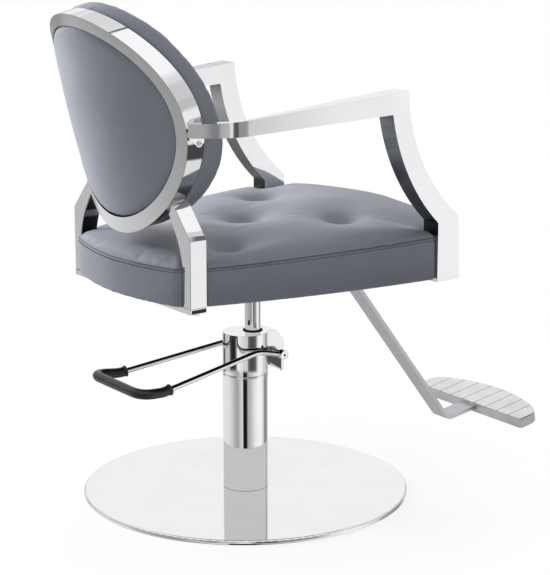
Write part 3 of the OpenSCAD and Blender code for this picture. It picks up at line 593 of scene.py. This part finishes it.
def blown_up(mesh, pinned, cap):
    """Swells the mesh by cloth pressure: the pinned points are held, and none moves further than the cap."""
    before = points(mesh)
    sack = bpy.data.objects.new("sack", mesh.copy())
    bpy.context.scene.collection.objects.link(sack)
    hold = sack.vertex_groups.new(name="hold")
    for index, weight in enumerate(pinned):
        if weight > 0:
            hold.add([index], float(weight), "REPLACE")
    cloth = sack.modifiers.new("cloth", "CLOTH")
    cloth.settings.use_pressure = True
    cloth.settings.uniform_pressure_force = CLOTH_PRESSURE
    cloth.settings.vertex_group_mass = "hold"
    cloth.settings.effector_weights.gravity = 0
    cloth.settings.tension_stiffness = 15
    cloth.settings.bending_stiffness = 2.0
    cloth.collision_settings.use_collision = False
    cloth.point_cache.frame_start = 1
    cloth.point_cache.frame_end = CLOTH_FRAMES
    scene = bpy.context.scene
    for number in range(1, CLOTH_FRAMES + 1):
        scene.frame_set(number)
    graph = bpy.context.evaluated_depsgraph_get()
    after = points(sack.evaluated_get(graph).to_mesh())
    sack.evaluated_get(graph).to_mesh_clear()
    bpy.data.objects.remove(sack)
    scene.frame_set(1)
    move = after - before
    size = np.linalg.norm(move, axis=1, keepdims=True)
    put_points(mesh, before + move * np.minimum(1.0, cap / np.maximum(size, 1e-9)))


def tube_along(path, radius, name):
    """A round line along points in metres, as a mesh."""
    curve = bpy.data.curves.new(name, "CURVE")
    curve.dimensions = "3D"
    curve.bevel_depth = radius
    curve.bevel_resolution = 4
    curve.use_fill_caps = True
    spline = curve.splines.new("POLY")
    spline.points.add(len(path) - 1)
    for point, at in zip(spline.points, path):
        point.co = (*at, 1.0)
    mesh = as_mesh(curve)
    smoothed(mesh)
    return mesh


def spaced(path, step):
    """Points an even step apart along a line of points, with their directions."""
    path = [Vector(p) for p in path]
    out, left = [], 0.0
    for a, b in zip(path, path[1:]):
        length = (b - a).length
        if length < 1e-9:
            continue
        way = (b - a) / length
        while left <= length:
            out.append((a + way * left, way))
            left += step
        left -= length
    return out


def stitches(rows, step, length, radius, name):
    """Short threads an even step apart along rows of points."""
    bm = bmesh.new()
    for row in rows:
        for place, way in spaced(row, step):
            made = bmesh.ops.create_uvsphere(bm, u_segments=6, v_segments=4, radius=1.0)["verts"]
            bmesh.ops.scale(bm, verts=made, vec=(radius, radius, length / 2))
            turn = way.to_track_quat("Z", "X").to_matrix()
            bmesh.ops.rotate(bm, verts=made, cent=(0, 0, 0), matrix=turn)
            bmesh.ops.translate(bm, verts=made, vec=place)
    return mesh_of(bm, name)


def on_skin(tree, path, lift):
    """Points of a path moved to the nearest place on a skin, and lifted off it."""
    out = []
    for p in path:
        place, normal, _, _ = tree.find_nearest(Vector(p))
        out.append(place + normal * lift)
    return out


SHARP_ANGLE = math.radians(28)


def softened(name, width):
    """A copy of a rigid CAD node in its place, with its sharp edges rounded over and marked as edge."""
    source = NODES[name]
    bm = bmesh.new()
    bm.from_mesh(source.data)
    bmesh.ops.remove_doubles(bm, verts=bm.verts, dist=2e-5)
    bmesh.ops.dissolve_limit(bm, angle_limit=math.radians(0.6), verts=bm.verts, edges=bm.edges)
    # the rounded faces are marked edge, where polished chrome paints a dark reflection
    edge = bm.faces.layers.float.new("edge")
    sharp = [e for e in bm.edges if len(e.link_faces) == 2 and e.calc_face_angle(0) > SHARP_ANGLE]
    rounded = bmesh.ops.bevel(bm, geom=sharp, offset=width, offset_type="OFFSET", segments=2, profile=0.5,
                              affect="EDGES", clamp_overlap=True, material=-1)["faces"]
    for face in rounded:
        face[edge] = 1.0
    mesh = mesh_of(bm, name + "_piece")
    piece = part(name + "_piece", source["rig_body"], mesh, finish_of(name))
    weighted = piece.modifiers.new("normals", "WEIGHTED_NORMAL")
    weighted.weight = 60
    weighted.keep_sharp = True
    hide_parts(name)


# ---------------------------------------------------------------- seat

SEAT_TURN = (Matrix.Translation((0, 0.2182, 0.40149)) @ Matrix.Rotation(math.radians(-1.3), 4, "X")
             @ Matrix.Translation((0, -0.2182, 0)))
SEAT_REAR, SEAT_FRONT = 270.0, 334.0      # how far the seat reaches to the rear and to the front
BORDER_REAR, BORDER_GROWTH = 62, 14       # the border's height at the rear, and its growth to the front
SEAT_VOXEL, SEAT_SNAP = 0.006, 3.2        # the remesh, and how near a point lies to be put on an edge
PUFF_REACH, PUFF_RISE = 38, 14            # the round shoulder inside the seam
DOME_REACH, DOME_RISE, DOME_LEAN = 140, 15, 0.02
TUFTS = [(0, -2), (123.6, 117.4), (123.6, -121.4), (-123.6, 117.4), (-123.6, -121.4)]
TUFT_DEPTH, TUFT_REACH = 23, 27           # the pinch at a button
FALL_DEPTH, FALL_REACH = 8, 60            # the wider fall round it
SEAT_SWELL = 0.005


def border_height(y):
    """The seam's height over the border's lower edge, in millimetres."""
    return BORDER_REAR + (SEAT_REAR - y) * BORDER_GROWTH / (SEAT_REAR + SEAT_FRONT)


def bowed(p, q, rise, count):
    """Points on a flat bow from p to q, without its last one."""
    p, q = np.array(p, float), np.array(q, float)
    side = np.array([-(q - p)[1], (q - p)[0]]) / np.linalg.norm(q - p)
    return [p + (q - p) * t + side * 4 * rise * t * (1 - t) for t in np.arange(count) / count]


def seat_half():
    """Half of the seat's plan in millimetres, front middle to rear middle, round the leg and the post."""
    front = bowed((0, -SEAT_FRONT), (226, -276), -10, 10)
    corner = [np.array(p) for p in ((226, -276), (234, -270), (237.3, -258), (237.3, -207.4))]
    side = [np.array((256.0, -207.4))] + bowed((275.4, -207.3), (188.6, 201.4), -13, 16)
    post = [np.array(p) for p in ((188.2, 201.6), (178, 202.0), (166, 202.2), (165.8, 226), (163.5, 236))]
    rear = bowed((160, 241.5), (0, SEAT_REAR), -6, 10)
    return front + corner + side + post + rear


def seat_plan():
    """The seat's whole plan, one point after the other."""
    half = seat_half()
    whole = half + [np.array((0, SEAT_REAR))] + [np.array((-x, y)) for x, y in reversed(half[1:])]
    return np.array(whole)


def inside_depth(xy, plan):
    """Distance of each point from the plan's outline."""
    best = np.full(len(xy), 1e9)
    for a, b in zip(plan, np.roll(plan, -1, axis=0)):
        d = b - a
        t = np.clip(((xy - a) @ d) / max(d @ d, 1e-9), 0, 1)
        best = np.minimum(best, np.linalg.norm(xy - (a + t[:, None] * d), axis=1))
    return best


def snapped(xy, plan, reach):
    """The points, with those near the plan's outline moved onto it."""
    best, place = np.full(len(xy), 1e9), xy.copy()
    for a, b in zip(plan, np.roll(plan, -1, axis=0)):
        d = b - a
        t = np.clip(((xy - a) @ d) / max(d @ d, 1e-9), 0, 1)
        foot = a + t[:, None] * d
        gap = np.linalg.norm(xy - foot, axis=1)
        closer = gap < best
        best[closer], place[closer] = gap[closer], foot[closer]
    return np.where((best < reach)[:, None], place, xy)


def ease(t):
    """0 to 1 with level ends."""
    t = np.clip(t, 0, 1)
    return t * t * (3 - 2 * t)


def round_shoulder(depth, reach):
    """0 at the edge and 1 from the reach inwards, along a quarter of a circle."""
    return np.sqrt(1 - (1 - np.clip(depth / reach, 0, 1)) ** 2)


def seat_pad(plan):
    """The box seat: a puffed, tufted top over an upright border. Gives its skin for the seams."""
    bm = bmesh.new()
    base = bm.faces.new([bm.verts.new((x * MM, y * MM, 0)) for x, y in plan])
    for v in extruded(bm, base, (0, 0, BORDER_REAR * MM)):
        v.co.z = border_height(v.co.y / MM) * MM
    mesh = applied(mesh_of(bm, "seat_form"), "REMESH", mode="VOXEL", voxel_size=SEAT_VOXEL)
    co = points(mesh) / MM
    co[:, :2] = snapped(co[:, :2], plan, SEAT_SNAP)
    co[co[:, 2] < SEAT_SNAP, 2] = 0.0
    level = border_height(co[:, 1])
    co[:, 2] = np.where(co[:, 2] > level - SEAT_SNAP, level, co[:, 2])
    put_points(mesh, co * MM)
    mesh = welded(mesh, 0.0012)
    co = points(mesh) / MM
    depth = inside_depth(co[:, :2], plan)
    level = border_height(co[:, 1])
    on_top = co[:, 2] > level - 0.5
    dome = (DOME_RISE - DOME_LEAN * co[:, 1]) * ease(depth / DOME_REACH)
    rise = PUFF_RISE * round_shoulder(depth, PUFF_REACH) + dome
    for x, y in TUFTS:
        r = np.hypot(co[:, 0] - x, co[:, 1] - y)
        rise -= TUFT_DEPTH * np.exp(-(r / TUFT_REACH) ** 2) + FALL_DEPTH * np.exp(-(r / FALL_REACH) ** 2)
    co[:, 2] += np.where(on_top, rise, 0)
    put_points(mesh, co * MM)
    pinned = np.zeros(len(co))
    pinned[co[:, 2] < 4] = 1
    pinned[(~on_top) & (depth < 8) & (co[:, 2] > level - 9)] = 0.9
    for x, y in TUFTS:
        pinned[on_top & (np.hypot(co[:, 0] - x, co[:, 1] - y) < 9)] = 1
    blown_up(mesh, pinned, SEAT_SWELL)
    mesh.transform(SEAT_TURN)
    smoothed(mesh)
    pad = part("seat_pad", "seat", mesh, LEATHER)
    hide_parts("seat_cushion")
    tree = BVHTree.FromPolygons([v.co for v in mesh.vertices], [p.vertices for p in mesh.polygons])
    made_finer(pad)
    return tree


SEAM_RADIUS = 0.0009
STITCH_DROP = 5.0                         # the stitches' place below the seam, in millimetres
STITCH_STEP, STITCH_LENGTH, STITCH_RADIUS = 0.0046, 0.0024, 0.0009
FRONT_RUN, SIDE_RUN, REAR_RUN = slice(0, 13), slice(15, 32), slice(34, 46)    # the plan's free edges


def seat_line(drop):
    """The outline in the row frame, drop millimetres below the seam, in one run per free edge."""
    half = seat_half()
    front, side, rear = half[FRONT_RUN], half[SIDE_RUN], half[REAR_RUN] + [np.array((0, SEAT_REAR))]

    def mirrored(run):
        return [np.array((-x, y)) for x, y in run]

    runs = [mirrored(reversed(front)) + front[1:], side, mirrored(side),
            mirrored(rear) + list(reversed(rear))[1:]]
    return [[SEAT_TURN @ Vector((x * MM, y * MM, (border_height(y) - drop) * MM)) for x, y in run]
            for run in runs]


def fine_line(line):
    """The line with a point every 4 mm and at its end."""
    return [p for p, _ in spaced(line, 0.004)] + [line[-1]]


seat_shape = seat_plan()
seat_skin = seat_pad(seat_shape)
# the seams are dark tubes sunk into the skin: painted shade for their grooves
for number, line in enumerate(seat_line(0.0)):
    row = on_skin(seat_skin, fine_line(line), -0.0002)
    part("seat_seam_%d" % number, "seat", tube_along(row, SEAM_RADIUS, "seat_seam"), SEAM_SHADE)
thread_rows = [on_skin(seat_skin, fine_line(line), 0.0001) for line in seat_line(STITCH_DROP)]
threads = stitches(thread_rows, STITCH_STEP, STITCH_LENGTH, STITCH_RADIUS, "seat_stitches")
part("seat_stitches", "seat", threads, THREAD)

LINING_INSET, LINING_TOP, LINING_THICKNESS = 7, 0.0006, 0.0016


def dust_cover():
    """Black cloth stapled under the seat board."""
    bm = bmesh.new()
    share = [1 - LINING_INSET / math.hypot(x, y) for x, y in seat_shape]
    rim = [bm.verts.new((x * k * MM, y * k * MM, LINING_TOP)) for (x, y), k in zip(seat_shape, share)]
    extruded(bm, bm.faces.new(rim), (0, 0, -LINING_THICKNESS))
    bmesh.ops.triangulate(bm, faces=bm.faces)
    mesh = mesh_of(bm, "seat_dust_cover", smooth=False)
    mesh.transform(SEAT_TURN)
    part("seat_dust_cover", "seat", mesh, LINING)


dust_cover()


# ---------------------------------------------------------------- back

RECLINE = (Matrix.Translation((0, 0.2994, 0.68459)) @ Matrix.Rotation(math.radians(-14), 4, "X"))
RING_A, RING_B = 183.4, 188.8             # half the ring's width and height
PANEL_A, PANEL_B, PANEL_UP = 168.4, 164.5, 4.0
BEND = 294.0                              # the radius that the back is bent to
PAD_OVER_A, PAD_OVER_B = 1.5, 2.5         # how far the pad reaches past the ring
PAD_REAR, PAD_FRONT = 32.4, 58.0          # ahead of the ring's rear face, before the pad swells
PAD_VOXEL, PAD_SWELL, PAD_HELD = 0.005, 0.006, 24
COVER_REAR, COVER_FRONT, COVER_VOXEL = 1.8, 13.4, 0.004


def laid_on_back(mesh):
    """Bends a flat oval form, z up and y ahead of the ring's rear face, and leans it back into place."""
    co = points(mesh) / MM
    co[:, 1] = -co[:, 1] - BEND + np.sqrt(BEND ** 2 - co[:, 0] ** 2)
    put_points(mesh, co * MM)
    mesh.flip_normals()
    mesh.transform(RECLINE)
    smoothed(mesh)


def oval_form(a, b, rear, front, voxel):
    """A flat oval slab, remeshed: x across, z up, y from rear to front."""
    bm = bmesh.new()
    rim = bmesh.ops.create_circle(bm, cap_ends=True, radius=1.0, segments=96)["verts"]
    bmesh.ops.scale(bm, verts=rim, vec=(a * MM, b * MM, 1))
    bmesh.ops.rotate(bm, verts=rim, cent=(0, 0, 0), matrix=Matrix.Rotation(math.radians(90), 3, "X"))
    bmesh.ops.translate(bm, verts=rim, vec=(0, rear * MM, 0))
    bm.faces.ensure_lookup_table()
    extruded(bm, bm.faces[0], (0, (front - rear) * MM, 0))
    return applied(mesh_of(bm, "oval_form"), "REMESH", mode="VOXEL", voxel_size=voxel)


def rounded_rim(co, a, b, reach):
    """Moves the points near the oval's outline onto it, and gives each point's distance from it."""
    radius = np.hypot(co[:, 0] / a, co[:, 2] / b)
    depth = (1 - radius) * (a + b) / 2
    near = depth < reach
    co[near, 0] /= radius[near]
    co[near, 2] /= radius[near]
    return np.where(near, 0.0, depth)


def back_pad():
    """The padded front of the back, thicker towards the small of the back."""
    a, b = RING_A + PAD_OVER_A, RING_B + PAD_OVER_B
    mesh = oval_form(a, b, PAD_REAR, PAD_FRONT, PAD_VOXEL)
    co = points(mesh) / MM
    depth = rounded_rim(co, a, b, 3.5)
    ahead = co[:, 1] > PAD_FRONT - 2.5
    thicker = 20 * ease((40 - co[:, 2]) / 170) + 4 * ease((co[:, 2] - 90) / 60)
    held = (depth < PAD_HELD) | (co[:, 1] < PAD_REAR + 2)
    co[:, 1] += thicker * np.clip((co[:, 1] - PAD_REAR) / (PAD_FRONT - PAD_REAR), 0, 1)
    co[:, 1] += np.where(ahead, 14 * round_shoulder(depth, 16) + 6 * ease(depth / 150), 0)
    put_points(mesh, co * MM)
    blown_up(mesh, held.astype(float), PAD_SWELL)
    mesh = applied(mesh, "SMOOTH", factor=0.5, iterations=6)
    laid_on_back(mesh)
    pad = part("back_pad", "seat", mesh, PAD_LEATHER)
    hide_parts("back_cushion")
    made_finer(pad)


def back_cover():
    """The padded cover inside the ring, seen from behind."""
    a, b = PANEL_A - 0.5, PANEL_B - 0.5
    mesh = oval_form(a, b, COVER_REAR, COVER_FRONT, COVER_VOXEL)
    co = points(mesh) / MM
    depth = rounded_rim(co, a, b, 4.5)
    behind = co[:, 1] < COVER_REAR + 2.5
    co[:, 1] -= np.where(behind, 3.5 * round_shoulder(depth, 9) + 7 * ease(depth / 130), 0)
    co[:, 2] += PANEL_UP
    put_points(mesh, co * MM)
    mesh = applied(mesh, "SMOOTH", factor=0.5, iterations=3)
    laid_on_back(mesh)
    cover = part("back_cover", "seat", mesh, COVER_LEATHER)
    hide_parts("back_panel")
    made_finer(cover)


back_pad()
back_cover()

# how far each rigid node's sharp edges are rounded over, in millimetres
SOFTENED = {
    "back_ring": 1.6, "arm_left": 1.4, "arm_right": 1.4, "rear_post_left": 1.4, "rear_post_right": 1.4,
    "front_rail": 0.7, "rear_rail": 0.8, "footrest_bar": 1.0, "footrest_tread": 0.5, "pump_head": 0.9,
    "pedal_bar": 0.4, "pedal_grip": 0.5, "arm_tabs": 0.5, "base_cover": 0.5, "column_sleeve": 0.5,
    "swivel_hub": 0.5, "piston_wiper": 0.4,
}
for name, width in SOFTENED.items():
    softened(name, width * MM)


# ---------------------------------------------------------------- studio

NEAR_X, NEAR_Y = 0.8187, 0.5741           # the level way from the object to the camera is (-NEAR_X, NEAR_Y)
VIEW_FROM = Vector((-2.7110, 1.8366, 1.1308))
VIEW_BACK = Vector((-0.7976, 0.5593, 0.2258))
VIEW_RIGHT = Vector((-NEAR_Y, -NEAR_X, 0.0))
VIEW_UP = Vector((0.1849, -0.1296, 0.9741))

camera_data = bpy.data.cameras.new("camera")
camera_data.lens = 119.44
camera_data.sensor_width = 36.0
camera_data.clip_end = 50.0
camera = bpy.data.objects.new("camera", camera_data)
bpy.context.scene.collection.objects.link(camera)
turn = Matrix((VIEW_RIGHT, VIEW_UP, VIEW_BACK)).transposed().to_4x4()
camera.matrix_world = Matrix.Translation(VIEW_FROM) @ turn
bpy.context.scene.camera = camera
bpy.context.scene.view_settings.view_transform = "Standard"


# What polished metal mirrors at each bearing round the column, in degrees: 0 is the main camera's side,
# and they grow towards the camera's right. One ring serves the seat and back, one the pump head, one
# the column, and one what looks down.
UPPER = [(-180, 0.62), (-150, 0.45), (-128, 0.55), (-105, 0.50), (-88, 0.52), (-64, 0.42), (-45, 0.38),
         (-34, 0.38), (-29, 0.32), (-25, 0.24), (-19.5, 0.23), (-17, 0.42), (-10, 0.50), (-5, 0.56),
         (-3, 0.80), (3, 0.80), (8, 0.10), (20, 0.10), (24, 0.30), (48, 0.32), (56, 0.62), (64, 0.88),
         (80, 0.96), (100, 0.75), (116, 0.34), (140, 0.34), (165, 0.75), (180, 0.62)]
HEAD = [(-180, 0.80), (-150, 0.75), (-142, 0.10), (-124, 0.12), (-118, 0.58), (-88, 0.56), (-80, 0.08),
        (-70, 0.02), (-52, 0.02), (-44, 0.30), (-38, 0.95), (-10, 0.72), (12, 0.62), (16, 0.16),
        (32, 0.06), (54, 0.12), (60, 0.40), (70, 0.92), (86, 0.98), (104, 0.75), (122, 0.55),
        (128, 0.04), (146, 0.06), (156, 0.80), (180, 0.85)]
COLUMN = [(-180, 0.85), (-145, 0.82), (-95, 0.80), (-74, 0.67), (-56, 0.48), (-45, 0.40), (-38, 0.37),
          (-33, 0.45), (-29, 0.57), (-19, 0.64), (-12, 0.72), (-10, 0.01), (7, 0.01), (11, 0.27),
          (15, 0.44), (21.5, 0.48), (32, 0.57), (42, 0.74), (53, 0.86), (77, 1.0), (91, 0.91),
          (104, 0.70), (113, 0.26), (137, 0.31), (145, 0.50), (156, 0.95), (180, 0.95)]
DOWN = [(-180, 0.45), (-150, 0.58), (-119, 0.66), (-60, 0.45), (-34, 0.37), (0, 0.42), (60, 0.80),
        (95, 0.80), (117, 0.70), (140, 0.50), (180, 0.45)]
# what it mirrors above the rings, by height, and over the top, from far to near
HEIGHTS = [(0.0, 0.55), (0.20, 0.52), (0.34, 0.60), (0.46, 0.72), (0.56, 0.80), (0.64, 0.97), (0.80, 1.0),
           (1.0, 1.0)]
CROWN = [(0.0, 0.72), (0.355, 0.76), (0.366, 0.12), (0.372, 0.12), (0.382, 1.0), (1.0, 1.0)]

# the heights of a direction (its z) where one of these gives way to the next
UPPER_TO_HEAD = (0.244, 0.248)
HEAD_TO_COLUMN = (0.2690, 0.2703)
COLUMN_TO_DOWN = (0.36, 0.40)
RING_DIMS, RING_CLEARS = (0.02, 0.08), (0.2670, 0.2703)
RING_TO_PLAIN, PLAIN = (0.20, 0.24), 0.62
RING_TO_HEIGHTS = (0.02, 0.14)
HEIGHTS_TO_CROWN = (0.60, 0.64)
MATT_LEVEL, MATT_RISE = 0.40, 0.06


def studio_world():
    """White to the eye, graded for matt surfaces, with soft boxes and dark flags for polished metal."""
    f = Finish("studio", world=True)
    rays = f.tree.nodes.new("ShaderNodeLightPath")
    seen = Value(f, rays.outputs["Is Camera Ray"])
    glossy = Value(f, rays.outputs["Is Glossy Ray"])
    direction = f.add("ShaderNodeTexCoord", None, out=0)
    x, y, z = f.split(direction)
    near = y * NEAR_Y - x * NEAR_X
    right = (x * NEAR_Y + y * NEAR_X) * -1.0
    around = right.maths("ARCTAN2", near) / (2 * math.pi) + 0.5
    upper, head, column, down = (f.graph(around, [(degrees / 360 + 0.5, level) for degrees, level in stops])
                                 for stops in (UPPER, HEAD, COLUMN, DOWN))
    slope = z.size()
    head = f.mix_colour(z.between(-0.01, 0.01), head, column)
    ring = f.mix_colour(slope.between(*UPPER_TO_HEAD), upper, head)
    ring = f.mix_colour(slope.between(*HEAD_TO_COLUMN), ring, column)
    ring = f.mix_colour((z * -1.0).between(*COLUMN_TO_DOWN), ring, down)
    ring = f.mix_colour((z.between(*RING_DIMS) - z.between(*RING_CLEARS)) * 0.36, ring, rgba(0.0))
    ring = f.mix_colour(z.between(*RING_TO_PLAIN), ring, rgba(PLAIN))
    # the heights and the crown are rippled a little, so that their lines are not drawn with a ruler
    wavy = z + (f.noise(9.0, 1.0, vector=direction) - 0.5) * 0.03
    ripple = near + (f.noise(24.0, 1.0, vector=direction) - 0.5) * 0.05
    crown = f.graph(ripple * 0.5 + 0.5, CROWN)
    above = f.mix_colour(z.between(*HEIGHTS_TO_CROWN), f.graph(wavy, HEIGHTS), crown)
    # the rings reach higher everywhere but beyond the chair
    raised = near.between(-0.78, -0.68) * 0.38
    polished = f.mix_colour((z - raised).between(*RING_TO_HEIGHTS), ring, above)
    # the bright sheet that the base plate mirrors, beyond the chair
    sheet = (near * -1.0).between(0.78, 0.90) * (0.46 - z).between(0.0, 0.05) * z.between(0.05, 0.12)
    polished = f.mix_colour(sheet, polished, rgba(0.92))
    level = MATT_LEVEL + z.between(0.0, 1.0) * MATT_RISE
    matt = f.add("ShaderNodeCombineColor", None, level * 0.985, level, level * 1.03)
    shade = f.mix_colour(glossy, matt, polished)
    shade = f.mix_colour(seen, shade, rgba(1.0))
    sky = f.add("ShaderNodeBackground", None, Color=shade, Strength=1.0)
    f.add("ShaderNodeOutputWorld", None, sky)
    return f.data


bpy.context.scene.world = studio_world()


def soft_light(name, where, aim, size, power):
    """A soft box that lights matt surfaces, and that neither the camera nor polished metal sees."""
    light = bpy.data.lights.new(name, "AREA")
    light.shape = "RECTANGLE"
    light.size, light.size_y = size
    light.energy = power
    lamp = bpy.data.objects.new(name, light)
    lamp.location = where
    lamp.rotation_euler = (Vector(aim) - Vector(where)).to_track_quat("-Z", "Y").to_euler()
    lamp.visible_camera = False
    lamp.visible_glossy = False
    bpy.context.scene.collection.objects.link(lamp)


soft_light("top_box", (0.3, 0.1, 2.6), (0, 0, 0.5), (1.4, 1.4), 8)
soft_light("left_box", (2.2, 1.05, 1.2), (0, 0.1, 0.6), (1.2, 1.4), 112)


SHADOW_FADES = (0.28, 0.58)               # how far out the shadow on the floor fades, in metres
SHADOW_SHARE = 0.14


def studio_floor():
    """White to the eye, with the object's faint shadow, which fades out a little way off."""
    f = Finish("pale_floor")
    rays = f.tree.nodes.new("ShaderNodeLightPath")
    seen = Value(f, rays.outputs["Is Camera Ray"])
    far = f.add("ShaderNodeVectorMath", {"operation": "LENGTH"}, f.here(), out=1)
    matt = f.add("ShaderNodeBsdfDiffuse", None, f.mix_colour(seen, rgba(0.55), rgba(0.85)))
    glow = f.add("ShaderNodeEmission", None, rgba(1.0), 1.0)
    white = seen * ((1 - SHADOW_SHARE) + far.between(*SHADOW_FADES) * SHADOW_SHARE)
    both = f.add("ShaderNodeMixShader", None, white, matt, glow)
    f.add("ShaderNodeOutputMaterial", None, both)
    bm = bmesh.new()
    bmesh.ops.create_grid(bm, x_segments=1, y_segments=1, size=30.0)
    floor = bpy.data.objects.new("floor", mesh_of(bm, "floor", smooth=False))
    floor.data.materials.append(f.data)
    floor.visible_glossy = False
    bpy.context.scene.collection.objects.link(floor)


studio_floor()
